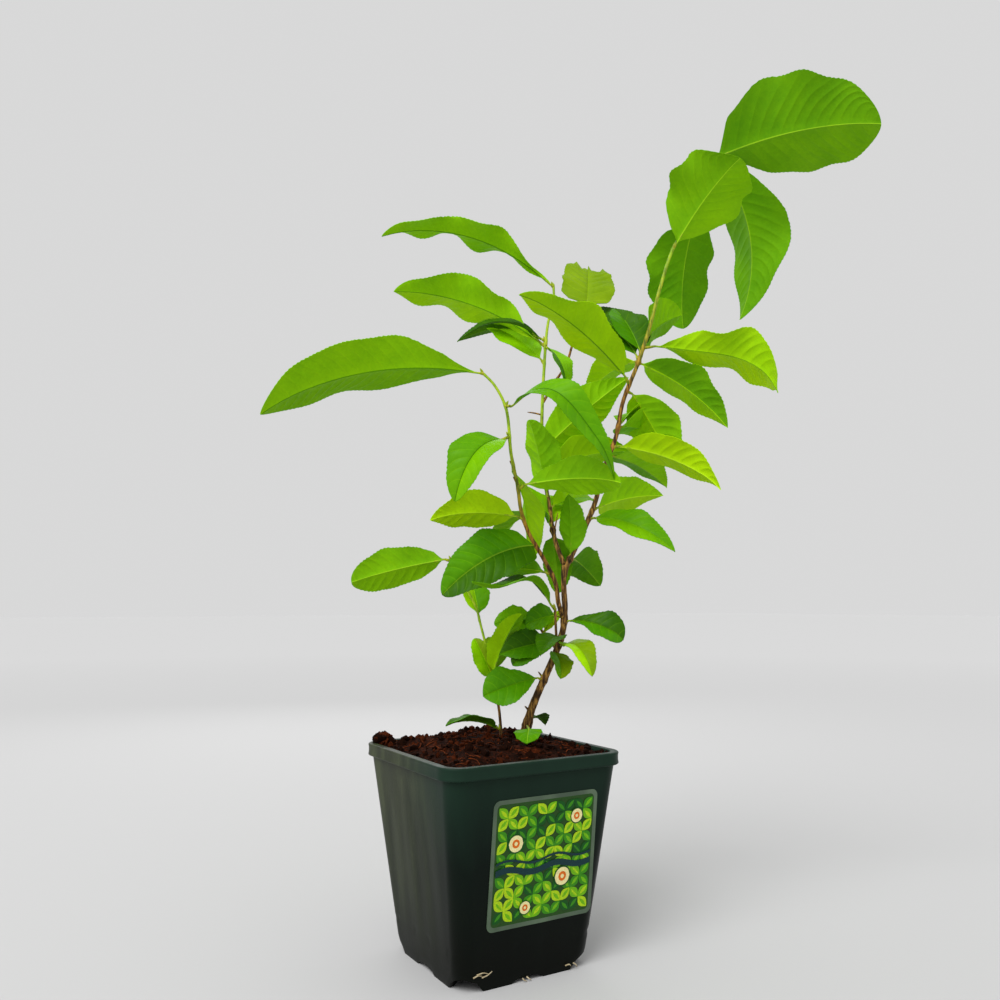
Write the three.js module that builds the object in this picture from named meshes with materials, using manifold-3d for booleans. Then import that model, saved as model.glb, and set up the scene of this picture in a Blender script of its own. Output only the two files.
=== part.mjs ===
// A young tea bush in its square nursery pot, as an assembly of named solids.
//
// Millimetres, +Z up, origin at the centre of the pot's flat underside. The pot's faces look along
// X and Y. The plant's three shoots fan out in one upright plane, turned from the pot's label face
// by FAN_TURN, so shoots and leaves are laid out in that plane's own frame:
//   across  along the fan, towards the tall shoot
//   away    square to the fan, towards its back
//   height  above the pot's underside

import * as THREE from "three";
import { mergeVertices } from "three/addons/utils/BufferGeometryUtils.js";
import Module from "manifold-3d";

// Pot: a tapered square cup with rounded upright corners and a folded rim
const POT_HEIGHT = 92;
const POT_RIM_SIDE = 90;
const POT_FOOT_SIDE = 64.4;
const POT_RIM_BAND = 5.5;
const POT_RIM_STEP = 2.2;
const POT_WALL = 1.5;
const POT_FLOOR = 2;
const POT_CORNER = 8;
const CORNER_SEGMENTS = 4;
const DRAIN_REACH = 10;
const DRAIN_HEIGHT = 5;
const SIDE_DRAIN_WIDTH = 15;
const SIDE_DRAIN_HEIGHT = 2;

// Soil: fills the pot to just under the rim and rises to a low flat mound that the trunk stands on
const SOIL_EDGE = 90;
const SOIL_MOUND = 4.7;
const SOIL_FLAT = 0.56;
const SOIL_ROUGHNESS = 0.5;
const SOIL_SHARES = [0.88, 0.72, 0.56, 0.28];

// Label: a thin film on the pot's front face
const LABEL_WIDTH = 52.6;
const LABEL_HEIGHT = 53.6;
const LABEL_CORNER = 3;
const LABEL_THICKNESS = 0.4;
const LABEL_ACROSS = 4;
const LABEL_MIDDLE = 50.3;

// Plant
const CLEARANCE = 0.3;
const FACET_LOSS = 0.2;
const SLIVER = 0.03;
const FAN_TURN = THREE.MathUtils.degToRad(-30.8);
const GROUND = SOIL_EDGE + SOIL_MOUND + CLEARANCE;
const LIMB_STEP = 7;
const FLARE_REACH = 5;
const LEAF_STATIONS = 7;
const LEAF_THINNEST = 0.55;
const LEAF_THICKNESS_RATIO = 0.012;
const LEAF_FOLD = 0.3;
const LEAF_NARROWEST = 0.5;
const STALK_RADIUS = 0.6;
const STALK_SIDES = 3;
const STALK_LEAN = 0.5;
const STALK_SUNK = 1.7;

// Limbs: each path runs through [across, away, height], from its foot radius to its tip radius
const TRUNK = {
  path: [[14.5, 8, 93], [17, 6, 99.5], [19.7, 5, 108.7], [23.5, 4, 118], [27.7, 3, 127.4],
    [31.4, 2, 136], [34.3, 1, 145.3], [35.2, 0, 155], [34.8, 0, 166], [34.9, 0, 176]],
  radii: [2.1, 1.2],
  flare: 1.1,
  sides: 8,
};
const RIGHT = {
  path: [[34.9, 0, 176], [38.7, 0, 179], [41.8, 1, 186.5], [45.2, 1, 193.6], [50.2, 2, 205.6],
    [54.8, 3, 222], [60.9, 3, 238], [64.7, 4, 255.4], [72.5, 5, 275], [78, 6, 291], [85, 7, 315.5],
    [92, 8, 335.5], [101.7, 9, 351.5], [115.5, 10, 386]],
  radii: [1.25, 0.6],
  sides: 6,
};
const MIDDLE = {
  path: [[34.9, 0, 176], [31, 3, 188], [28.3, 8, 206.5], [25.7, 12, 227.5], [25.4, 13, 243.5],
    [26.7, 14, 273.5], [28.8, 15, 297.5], [32, 16, 312], [31.8, 16, 320]],
  radii: [1.1, 0.6],
  sides: 6,
};
const MIDDLE_TWIG = {
  path: [[26, 13.5, 257], [32, 16, 268], [38, 18, 277.5], [42, 22, 290], [50, 26, 312]],
  radii: [0.7, 0.55],
  sides: 6,
};
const LEFT = {
  path: [[34.6, 0, 150], [32, -3.4, 158], [30.6, -5, 167], [25.2, -7, 178], [18.1, -10, 190],
    [14.4, -13, 200.5], [12.9, -15, 211], [9.8, -17, 226], [7.4, -20, 247], [2.2, -21, 257.5],
    [-3.5, -21.5, 263.5]],
  radii: [1.1, 0.6],
  sides: 6,
};
const THIN = {
  path: [[31.8, 1.8, 137.5], [31, -1.6, 143], [30.4, -3, 156]],
  radii: [0.7, 0.55],
  sides: 6,
};
const BASAL = {
  path: [[5.5, 10, 93], [4, 10, 109], [1, 9, 123], [-2.4, 8, 139], [-5, 8, 149], [-6.5, 7, 155],
    [-12, 6, 166], [-19, 6, 179]],
  radii: [0.95, 0.6],
  sides: 6,
};
const SPRIG = {
  path: [[31.5, 2, 136.5], [28, 6, 140], [24, 11, 146], [21, 15, 152]],
  radii: [0.75, 0.55],
  sides: 6,
};

// Outlines of a blade: where its belly sits (1 is the middle, less is nearer the stalk, more is nearer
// the tip) and how blunt its ends are (1 is pointed, less is rounder)
const OVAL = [0.85, 0.8];
const FULL = [1.15, 0.65];
const ROUND = [0.85, 0.5];
const HEART = [0.55, 0.5];
const SPOON = [2.4, 0.7];
const CROPPED = [1.3, 0.45];

// Leaves: node height on the limb, heading (0 along the fan, 90 to the back) and rise of the blade,
// its length and width, its roll, how far it arches (share of its length), its stalk's length, and
// its outline where that isn't OVAL
const LEAVES = {
  top: [
    [335, 304, 33, 50, 40, -28, 0.13, 3, FULL],
    [353, 92, -58, 55, 37, -13, 0.11, 4, ROUND],
    [385, 56, -71, 80, 41, 26, 0.19, 4],
    [384, 335, 0, 77, 53, -39, 0.14, 1.5, ROUND],
  ],
  right: [
    [198, 329, -23, 43, 18, 37, 0.12, 3],
    [201.5, 30, 12, 41, 22, -56, 0.08, 4],
    [228, 48, -12, 49, 20, -10, 0.06, 4],
    [233, 341, -25, 52, 22, -39, 0.1, 4],
    [242, 67, 8, 44, 20, -25, 0.08, 4],
    [253, 64, -1, 51, 24, -36, 0.08, 4],
    [264, 223, 19, 76, 25, 11, 0.08, 5],
    [275, 13, -33, 54, 24, -28, 0.1, 2],
    [283, 344, -23, 63, 28, -37, 0.16, 6, FULL],
    [276, 119, 40, 54, 23, -27, 0.08, 5],
    [287, 52, 12, 36, 24, 0, 0.06, 3, ROUND],
  ],
  middleTop: [
    [286, 292, -49, 26, 11, -14, 0.1, 3],
    [277, 137, 34, 46, 18, -38, 0.08, 4],
    [289, 147, 8, 52, 14, 20, 0.14, 4],
    [286, 186, 18, 76, 26, 30, 0.12, 5, FULL],
    [318, 198, 10, 88, 23, 9, 0.15, 2, ROUND],
  ],
  middleTwig: [
    [311, 84, 51, 34, 26, -15, 0.04, 2, CROPPED],
  ],
  middleLow: [
    [193, 100, 38, 28, 16, 10, 0.06, 4],
    [203, 51, 9, 38, 16, 32, 0.08, 4],
    [208, 241, 72, 38, 19, -4, 0.04, 4],
    [232, 8, 41, 57, 24, -70, 0.06, 2.5],
  ],
  leftTop: [
    [248, 319, -27, 68, 16, 49, 0.36, 4],
    [263, 196, -14, 100, 33, 33, 0.13, 2, FULL],
  ],
  leftLow: [
    [184.5, 209, -26, 52, 25, -58, 0.11, 1, ROUND],
    [196.5, 199, -4, 41, 20, 56, 0.13, 4],
    [210, 327, -3, 48, 19, -60, 0.12, 5, FULL],
    [234, 215, -50, 39, 21, -34, 0.26, 5, ROUND],
  ],
  thin: [
    [155, 210, 20, 26, 12, 25, 0.08, 4],
  ],
  basal: [
    [98, 211, 6, 27, 13, -15, 0.1, 3],
    [123, 307, 52, 35, 18, -11, 0.08, 3, ROUND],
    [121, 119, 49, 22, 12, 22, 0.06, 3],
    [128, 62, 34, 20, 14, 6, 0.08, 3, ROUND],
    [150, 109, 51, 24, 14, 2, 0.06, 3],
    [178, 201, -14, 46, 20, 73, 0.06, 4],
  ],
  sprig: [
    [142, 140, -10, 16, 14, 30, 0.08, 3, ROUND],
    [151, 195, 8, 22, 12, -20, 0.08, 3],
  ],
};

// Leaves that sit on a limb by themselves, each with the limb it grows from
const SINGLE_LEAVES = {
  leaf_trunk_foot: [TRUNK, [99, 256, -12, 15, 15, -3, 0.1, 3, HEART]],
  leaf_trunk_back: [TRUNK, [103, 70, -15, 22, 10, -2, 0.08, 4]],
  leaf_trunk_low: [TRUNK, [122, 210, -11, 32, 17, -55, 0.07, 4, FULL]],
  leaf_trunk_front: [TRUNK, [141, 247, -15, 26, 13, -7, 0.1, 4]],
  leaf_trunk_middle: [TRUNK, [138, 295, -17, 28, 13, 8, 0.16, 4]],
  leaf_trunk_left: [TRUNK, [151, 160, -18, 15, 14, -60, 0.08, 5, ROUND]],
  leaf_trunk_high: [TRUNK, [149, 335, -16, 27, 16, 44, 0.13, 3, SPOON]],
  leaf_left_bough: [LEFT, [171, 135, 8, 27, 12, -26, 0.08, 4]],
  leaf_fork_right: [RIGHT, [178.5, 58, -22, 30, 19, -37, 0.12, 3]],
  leaf_fork_front: [RIGHT, [178.5, 262, 68, 29, 14, -20, 0.06, 3]],
};

// Leaves at the back of the fan: how many each mass adds, and the ranges they are drawn from
const SEED = 43;
const BACK_COUNT = { right: 3, middleLow: 2, leftLow: 2 };
const BACK_HEADING = 90;
const BACK_SPREAD = 40;
const BACK_RISE = [-20, 25];
const BACK_LENGTH = [38, 54];
const BACK_WIDTH_RATIO = 0.44;
const BACK_ROLL = 20;
const BACK_ARCH = 0.1;
const BACK_STALK = 4;

// Solids are welded at this distance, and heights along a path are found in this many halvings
const WELD = 1e-4;
const HALVINGS = 30;

const wasm = await Module();
wasm.setup();

// Manifold solids to and from three.js geometry

function toSolid(geometry) {
  const bare = geometry.clone();
  bare.deleteAttribute("normal");
  bare.deleteAttribute("uv");
  const merged = mergeVertices(bare, WELD);
  return new wasm.Manifold(new wasm.Mesh({
    numProp: 3,
    vertProperties: new Float32Array(merged.attributes.position.array),
    triVerts: new Uint32Array(merged.index.array),
  }));
}

function toGeometry(solid) {
  const mesh = solid.getMesh();
  const geometry = new THREE.BufferGeometry();
  geometry.setAttribute("position", new THREE.BufferAttribute(mesh.vertProperties, 3));
  geometry.setIndex(new THREE.BufferAttribute(mesh.triVerts, 1));
  geometry.computeVertexNormals();
  return geometry;
}

function largestPiece(solid) {
  return solid.decompose().sort((a, b) => b.volume() - a.volume())[0];
}

// Pot and soil are lofts of rounded squares, one ring above the other

function roundedSquare(halfSide, corner, height) {
  const centre = halfSide - corner;
  const ring = [];
  for (let quarter = 0; quarter < 4; quarter += 1) {
    const start = quarter * Math.PI / 2;
    const middle = start + Math.PI / 4;
    const cx = Math.sign(Math.cos(middle)) * centre;
    const cy = Math.sign(Math.sin(middle)) * centre;
    for (let i = 0; i <= CORNER_SEGMENTS; i += 1) {
      const angle = start + (i / CORNER_SEGMENTS) * Math.PI / 2;
      ring.push(new THREE.Vector3(cx + corner * Math.cos(angle), cy + corner * Math.sin(angle), height));
    }
  }
  return ring;
}

// Each ring joins the next, and a fan closes both ends on the middle of the first and last ring
function loftRings(rings) {
  const count = rings[0].length;
  const points = rings.flat();
  const faces = [];
  for (let r = 0; r + 1 < rings.length; r += 1) {
    for (let i = 0; i < count; i += 1) {
      const j = (i + 1) % count;
      const a = r * count + i;
      const b = r * count + j;
      faces.push(a, b, b + count, a, b + count, a + count);
    }
  }
  const lastRing = (rings.length - 1) * count;
  const bottom = points.push(ringMiddle(rings[0])) - 1;
  const top = points.push(ringMiddle(rings[rings.length - 1])) - 1;
  for (let i = 0; i < count; i += 1) {
    const j = (i + 1) % count;
    faces.push(bottom, j, i);
    faces.push(top, lastRing + i, lastRing + j);
  }
  const geometry = new THREE.BufferGeometry().setFromPoints(points);
  geometry.setIndex(faces);
  return geometry;
}

function ringMiddle(ring) {
  const sum = ring.reduce((total, point) => total.add(point), new THREE.Vector3());
  return sum.divideScalar(ring.length);
}

// Half the outer side of the pot's body at a height, without the rim band
function potHalf(height) {
  const underRim = POT_HEIGHT - POT_RIM_BAND;
  const foot = POT_FOOT_SIDE / 2;
  const top = POT_RIM_SIDE / 2 - POT_RIM_STEP;
  return foot + (top - foot) * Math.min(1, height / underRim);
}

function drainCutter(width, depth, height) {
  return new THREE.BoxGeometry(width, depth, 2 * height);
}

function makePot() {
  const underRim = POT_HEIGHT - POT_RIM_BAND;
  const rimHalf = POT_RIM_SIDE / 2;
  const inner = (height) => potHalf(height) - POT_WALL;
  const innerCorner = POT_CORNER - POT_WALL;
  let pot = toSolid(loftRings([
    roundedSquare(potHalf(0), POT_CORNER, 0),
    roundedSquare(potHalf(underRim), POT_CORNER, underRim),
    roundedSquare(rimHalf, POT_CORNER + POT_RIM_STEP, underRim),
    roundedSquare(rimHalf, POT_CORNER + POT_RIM_STEP, POT_HEIGHT),
    roundedSquare(inner(underRim), innerCorner, POT_HEIGHT),
    roundedSquare(inner(underRim), innerCorner, underRim),
    roundedSquare(inner(POT_FLOOR), innerCorner, POT_FLOOR),
  ]));
  for (let side = 0; side < 4; side += 1) {
    const turn = side * Math.PI / 2;
    const slope = Math.atan2(DRAIN_HEIGHT, DRAIN_REACH);
    const wedge = drainCutter(2 * DRAIN_REACH, 4 * DRAIN_REACH, DRAIN_HEIGHT);
    wedge.rotateY(-slope);
    wedge.translate(Math.SQRT2 * potHalf(0) - POT_CORNER / 2, 0, 0);
    wedge.rotateZ(turn + Math.PI / 4);
    pot = pot.subtract(toSolid(wedge));
    const notch = drainCutter(4 * POT_WALL, SIDE_DRAIN_WIDTH, SIDE_DRAIN_HEIGHT);
    notch.translate(potHalf(0), 0, 0);
    notch.rotateZ(turn);
    pot = pot.subtract(toSolid(notch));
  }
  return toGeometry(pot);
}

// Flat in the middle, falling off to the edge, rough there from a few crossing waves
function soilHeight(x, y) {
  const reach = potHalf(SOIL_EDGE) - POT_WALL;
  const outward = Math.max(Math.abs(x), Math.abs(y)) / reach;
  const slope = Math.min(1, Math.max(0, (outward - SOIL_FLAT) / (1 - SOIL_FLAT)));
  const waves = Math.sin(0.31 * x + 1.3) * Math.cos(0.27 * y) + Math.sin(0.17 * (x - y) + 0.6);
  return SOIL_EDGE + SOIL_MOUND * (1 - slope) + SOIL_ROUGHNESS * waves * Math.min(slope, 1 - slope);
}

function makeSoil() {
  const inset = (height) => potHalf(height) - POT_WALL - CLEARANCE;
  const corner = POT_CORNER - POT_WALL - CLEARANCE;
  const floor = POT_FLOOR + CLEARANCE;
  const rings = [
    roundedSquare(inset(floor), corner, floor),
    roundedSquare(inset(SOIL_EDGE), corner, SOIL_EDGE),
  ];
  for (const share of SOIL_SHARES) {
    const ring = roundedSquare(inset(SOIL_EDGE) * share, corner * share, 0);
    ring.forEach((point) => { point.z = soilHeight(point.x, point.y); });
    rings.push(ring);
  }
  return loftRings(rings);
}

function makeLabel() {
  const w = LABEL_WIDTH / 2;
  const h = LABEL_HEIGHT / 2;
  const c = LABEL_CORNER;
  const outline = new THREE.Shape();
  outline.absarc(w - c, h - c, c, 0, Math.PI / 2);
  outline.absarc(-w + c, h - c, c, Math.PI / 2, Math.PI);
  outline.absarc(-w + c, -h + c, c, Math.PI, 1.5 * Math.PI);
  outline.absarc(w - c, -h + c, c, 1.5 * Math.PI, 2 * Math.PI);
  const film = { depth: LABEL_THICKNESS, bevelEnabled: false, curveSegments: 4 };
  const geometry = new THREE.ExtrudeGeometry(outline, film);
  const lean = Math.atan2(potHalf(POT_HEIGHT) - potHalf(0), POT_HEIGHT - POT_RIM_BAND);
  geometry.translate(0, 0, CLEARANCE);
  geometry.rotateX(Math.PI / 2 + lean);
  geometry.translate(LABEL_ACROSS, -potHalf(LABEL_MIDDLE), LABEL_MIDDLE);
  return geometry;
}

// Limbs: round bars bent along a smooth path, thinner towards the tip

function limbCurve(limb) {
  return new THREE.CatmullRomCurve3(limb.path.map((point) => new THREE.Vector3(...point)));
}

// The share of the path's length at which the limb has climbed to a height
function shareAtHeight(curve, height) {
  let low = 0;
  let high = 1;
  for (let i = 0; i < HALVINGS; i += 1) {
    const middle = (low + high) / 2;
    if (curve.getPointAt(middle).z < height) low = middle;
    else high = middle;
  }
  return (low + high) / 2;
}

function limbRadius(limb, curve, share) {
  const [foot, tip] = limb.radii;
  const flare = limb.flare ? limb.flare * Math.exp(-share * curve.getLength() / FLARE_REACH) : 0;
  return foot + (tip - foot) * share + flare;
}

// A bar of unit radius and length along Y, bent so that its length follows the curve
function bendBar(curve, from, to, sides, steps, radiusAt) {
  const geometry = new THREE.CylinderGeometry(1, 1, 1, sides, steps);
  const position = geometry.attributes.position;
  const point = new THREE.Vector3();
  for (let i = 0; i < position.count; i += 1) {
    const share = from + (to - from) * (position.getY(i) + 0.5);
    const centre = curve.getPointAt(share);
    const along = curve.getTangentAt(share);
    const away = new THREE.Vector3(0, 1, 0).cross(along).normalize();
    const side = along.clone().cross(away);
    const radius = radiusAt(share);
    point.copy(centre);
    point.addScaledVector(away, radius * position.getX(i));
    point.addScaledVector(side, -radius * position.getZ(i));
    position.setXYZ(i, point.x, point.y, point.z);
  }
  return geometry;
}

function limbGeometry(limb, lowest, highest, extra = 0) {
  const curve = limbCurve(limb);
  const from = shareAtHeight(curve, lowest);
  const to = shareAtHeight(curve, highest);
  const steps = Math.max(1, Math.round((to - from) * curve.getLength() / LIMB_STEP));
  return bendBar(curve, from, to, limb.sides, steps, (share) => limbRadius(limb, curve, share) + extra);
}

// Half a blade's width at a share of its length, rounded at the stalk and drawn out to a point
function bladeHalfWidth(share, width, [belly, bluntness]) {
  const full = Math.max(0, Math.sin(Math.PI * Math.min(1, share) ** belly));
  return Math.max(LEAF_NARROWEST, width / 2 * full ** bluntness);
}

// The blade's own axes: along it, out of its upper face, and across it
function bladeAxes(heading, rise, roll) {
  const h = THREE.MathUtils.degToRad(heading);
  const r = THREE.MathUtils.degToRad(rise);
  const along = new THREE.Vector3(Math.cos(r) * Math.cos(h), Math.cos(r) * Math.sin(h), Math.sin(r));
  const face = new THREE.Vector3(0, 0, 1);
  face.addScaledVector(along, -along.z).normalize();
  face.applyAxisAngle(along, THREE.MathUtils.degToRad(roll));
  const across = along.clone().cross(face);
  return { along, face, across };
}

// A box bent into a blade: its length runs along the leaf, its depth across, its height through it
function bladeGeometry(base, row, margin) {
  const [, heading, rise, length, width, roll, arch, , outline = OVAL] = row;
  const { along, face, across } = bladeAxes(heading, rise, roll);
  const thickness = Math.max(LEAF_THINNEST, LEAF_THICKNESS_RATIO * length) + 2 * margin;
  const geometry = new THREE.BoxGeometry(1, 1, 2, LEAF_STATIONS, 1, 2);
  const position = geometry.attributes.position;
  for (let i = 0; i < position.count; i += 1) {
    const share = position.getX(i) + 0.5;
    const half = bladeHalfWidth(share, width, outline) + margin;
    const side = position.getZ(i);
    const lift = 4 * arch * length * share * (1 - share) + LEAF_FOLD * half * Math.abs(side);
    const point = base.clone();
    point.addScaledVector(along, share * length);
    point.addScaledVector(across, side * half);
    point.addScaledVector(face, lift + thickness * position.getY(i));
    position.setXYZ(i, point.x, point.y, point.z);
  }
  return geometry;
}

// Numbers from 0 to 1 that come out the same every time (mulberry32)
function seededNumbers(seed) {
  let state = seed;
  return () => {
    state = (state + 0x6d2b79f5) | 0;
    let mixed = Math.imul(state ^ (state >>> 15), 1 | state);
    mixed = (mixed + Math.imul(mixed ^ (mixed >>> 7), 61 | mixed)) ^ mixed;
    return ((mixed ^ (mixed >>> 14)) >>> 0) / 2 ** 32;
  };
}

// Leaf rows for the back: evenly spaced up the stem, with heading, rise, size and roll drawn by seed
function backLeaves(lowest, highest, count, random) {
  const draw = ([low, high]) => low + (high - low) * random();
  return Array.from({ length: count }, (_, i) => {
    const height = lowest + (highest - lowest) * (i + 0.5) / count;
    const heading = BACK_HEADING + draw([-BACK_SPREAD, BACK_SPREAD]);
    const rise = draw(BACK_RISE);
    const length = draw(BACK_LENGTH);
    const roll = draw([-BACK_ROLL, BACK_ROLL]);
    return [height, heading, rise, length, BACK_WIDTH_RATIO * length, roll, BACK_ARCH, BACK_STALK];
  });
}

// Where a leaf's stalk leaves its limb, and where its blade begins
function leafRoot(limb, row) {
  const [height, heading, rise, , , roll, , stalk] = row;
  const curve = limbCurve(limb);
  const share = shareAtHeight(curve, height);
  const node = curve.getPointAt(share);
  const { along } = bladeAxes(heading, rise, roll);
  const lead = curve.getTangentAt(share).multiplyScalar(STALK_LEAN).add(along).normalize();
  return { node, base: node.clone().addScaledVector(lead, stalk), along };
}

// A leaf with its stalk: the stalk leaves the limb's axis and turns into the blade's own direction
function leafSolid(limb, row, margin = 0) {
  const { node, base, along } = leafRoot(limb, row);
  const sunk = base.clone().addScaledVector(along, STALK_SUNK);
  const route = new THREE.CatmullRomCurve3([node, node.clone().lerp(base, 0.6), base, sunk]);
  const bar = bendBar(route, 0, 1, STALK_SIDES, 2, () => STALK_RADIUS + margin);
  return toSolid(bar).add(toSolid(bladeGeometry(base, row, margin)));
}

// Assembly

const potPlastic = new THREE.MeshStandardMaterial({ color: 0x1f2c28, roughness: 0.45, metalness: 0 });
const peat = new THREE.MeshStandardMaterial({ color: 0x2c1a12, roughness: 0.95, metalness: 0 });
const film = new THREE.MeshStandardMaterial({ color: 0x7ea83c, roughness: 0.25, metalness: 0 });
const bark = new THREE.MeshStandardMaterial({ color: 0x6b5326, roughness: 0.8, metalness: 0 });
const leaf = new THREE.MeshStandardMaterial({ color: 0x6aa80c, roughness: 0.5, metalness: 0 });

const bush = new THREE.Group();
bush.name = "tea_bush";
const plant = new THREE.Group();
plant.rotation.z = FAN_TURN;

function addMesh(group, name, geometry, material) {
  const mesh = new THREE.Mesh(geometry, material.clone());
  mesh.name = name;
  group.add(mesh);
}

addMesh(bush, "pot", makePot(), potPlastic);
addMesh(bush, "soil", makeSoil(), peat);
addMesh(bush, "label", makeLabel(), film);
bush.add(plant);

const solids = {};

// A limb from end to end, thicker all round by the clearance and what its facets lose in a bend
function grown(limb) {
  const heights = limb.path.map((point) => point[2]);
  const extra = CLEARANCE + FACET_LOSS;
  return toSolid(limbGeometry(limb, Math.min(...heights), Math.max(...heights), extra));
}

// What stands on the soil is cut off flat there
function cutAtGround(solid) {
  return solid.trimByPlane([0, 0, 1], GROUND);
}

// The woody limbs: which stretch of each path is bare wood, and the limb it stands clear of
const WOOD = [
  ["trunk", TRUNK, 93, 176, null],
  ["bough_right_lower", RIGHT, 176.3, 195, TRUNK],
  ["bough_right_upper", RIGHT, 292.3, 330, null],
  ["bough_middle_lower", MIDDLE, 177, 190, TRUNK],
  ["bough_middle_upper", MIDDLE, 236.3, 252, null],
  ["bough_left_lower", LEFT, 152, 177, TRUNK],
  ["bough_left_upper", LEFT, 236.3, 245, null],
];
for (const [name, limb, lowest, highest, parent] of WOOD) {
  let solid = cutAtGround(toSolid(limbGeometry(limb, lowest, highest)));
  if (parent) solid = largestPiece(solid.subtract(grown(parent)));
  for (const other of Object.values(solids)) solid = largestPiece(solid.subtract(other));
  solids[name] = solid;
}

// The standing solids that a leaf touches, its own limb's aside
function touched(solid, limb, own) {
  const wood = WOOD.filter((entry) => entry[1] === limb).map((entry) => entry[0]);
  const others = Object.keys(solids).filter((name) => name !== own && !wood.includes(name));
  return others.filter((name) => !solid.intersect(solids[name]).isEmpty());
}

// A mass is one stem with its leaves sunk into it
const MASSES = [
  ["foliage_right_top", RIGHT, 330.3, 386, "top", null],
  ["foliage_right", RIGHT, 195.3, 292, "right", null],
  ["foliage_middle_top", MIDDLE, 252.3, 320, "middleTop", null],
  ["foliage_middle_twig", MIDDLE_TWIG, 257, 312, "middleTwig", MIDDLE],
  ["foliage_middle_low", MIDDLE, 190.3, 236, "middleLow", null],
  ["foliage_left_top", LEFT, 245.3, 263.5, "leftTop", null],
  ["foliage_left_low", LEFT, 177.3, 236, "leftLow", null],
  ["foliage_thin_shoot", THIN, 137.5, 156, "thin", TRUNK],
  ["foliage_basal_shoot", BASAL, 93, 179, "basal", null],
  ["foliage_sprig", SPRIG, 136.5, 152, "sprig", TRUNK],
];
for (const [name, limb, lowest, highest, , parent] of MASSES) {
  const stem = cutAtGround(toSolid(limbGeometry(limb, lowest, highest)));
  solids[name] = parent ? largestPiece(stem.subtract(grown(parent))) : stem;
}

// A leaf that would touch another solid is left out
function addLeaves(name, limb, parent, rows) {
  for (const row of rows) {
    if (touched(leafSolid(limb, row, CLEARANCE), limb, name).length > 0) continue;
    solids[name] = solids[name].add(leafSolid(limb, row));
    if (parent) solids[name] = largestPiece(solids[name].subtract(grown(parent)));
  }
}
for (const [name, limb, , , rows, parent] of MASSES) {
  addLeaves(name, limb, parent, LEAVES[rows]);
}
for (const [name, [limb, row]] of Object.entries(SINGLE_LEAVES)) {
  solids[name] = largestPiece(leafSolid(limb, row).subtract(grown(limb)));
}
const random = seededNumbers(SEED);
for (const [name, limb, lowest, highest, rows, parent] of MASSES) {
  addLeaves(name, limb, parent, backLeaves(lowest, highest, BACK_COUNT[rows] ?? 0, random));
}

const woodNames = WOOD.map(([name]) => name);
for (const [name, solid] of Object.entries(solids)) {
  const material = woodNames.includes(name) ? bark : leaf;
  addMesh(plant, name, toGeometry(solid.asOriginal().simplify(SLIVER)), material);
}

export default bush;
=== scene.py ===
# %% [markdown]
# A potted young tea bush, built as a lesson
#
# The object is a tea plant about 32 cm tall above its soil, in a square nursery pot 9 cm
# wide. The pot is thin dark plastic with a folded rim, it carries a film label on one
# face, and it is filled with peat. A slender trunk leans over the soil and forks into
# three boughs with some sixty single leaves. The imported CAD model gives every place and
# size, and this script gives the surfaces. The plant's lengths are written in
# millimetres, and only the camera, the lights and the floor are placed in metres.

import bpy
import numpy as np
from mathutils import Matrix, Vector


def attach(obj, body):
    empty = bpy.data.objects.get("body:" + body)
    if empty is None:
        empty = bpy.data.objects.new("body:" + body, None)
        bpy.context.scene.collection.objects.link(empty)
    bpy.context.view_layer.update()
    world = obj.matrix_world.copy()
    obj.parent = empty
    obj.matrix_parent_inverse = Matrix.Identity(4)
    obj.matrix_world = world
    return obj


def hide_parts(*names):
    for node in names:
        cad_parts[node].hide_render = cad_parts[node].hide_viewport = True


MM = 0.001
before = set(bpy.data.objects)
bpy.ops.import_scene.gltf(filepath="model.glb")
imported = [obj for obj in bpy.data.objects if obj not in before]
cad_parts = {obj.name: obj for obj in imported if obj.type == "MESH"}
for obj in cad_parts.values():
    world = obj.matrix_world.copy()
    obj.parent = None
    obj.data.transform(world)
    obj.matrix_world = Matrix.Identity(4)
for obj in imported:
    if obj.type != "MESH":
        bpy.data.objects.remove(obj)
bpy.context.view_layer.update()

# %% [markdown]
# The camera
#
# A small plant is photographed from the height of its lower leaves, so that the pot is
# seen slightly from above and the crown from below. The camera could be placed by eye,
# but here it was worked out from the corners of the pot's rim and foot, whose real
# sizes are known, and it is kept as a place, an aim and a lens.

# %% Camera
CAMERA_PLACE = Vector((-0.2148, -0.3693, 0.1574))
CAMERA_AIM = Vector((0.0040, -0.0024, 0.2068))
LENS = 32.4

camera_data = bpy.data.cameras.new("Camera")
camera_data.lens = LENS
camera_data.clip_start = 0.01
camera = bpy.data.objects.new("Camera", camera_data)
camera.location = CAMERA_PLACE
camera.rotation_euler = (CAMERA_AIM - CAMERA_PLACE).to_track_quat("-Z", "Y").to_euler()
bpy.context.scene.collection.objects.link(camera)
bpy.context.scene.camera = camera
print("camera distance in mm:", round((CAMERA_AIM - CAMERA_PLACE).length / MM))

# %% [markdown]
# Light
#
# Leaves look fresh when light comes from all round, as in a light tent. A pale world
# gives that, one wide sun from the left gives the forms a lit and a shaded side, and two
# soft panels, at the left and behind, leave a gentle shine on the waxy leaves. Plain
# display colours are used, since a filmic curve would dull the bright yellow greens.

# %% World, sun and soft panels
WORLD_LIGHT = 0.69
SUN_STRENGTH = 1.9
SUN_ANGLE = 0.6
SUN_DIRECTION = Vector((0.75, 0.45, -1.0))
PANELS = [
    ("Panel_left", Vector((-0.75, -0.35, 0.75)), 0.7, 2.2),
    ("Panel_back", Vector((0.25, 0.80, 0.60)), 0.6, 1.2),
]


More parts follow.
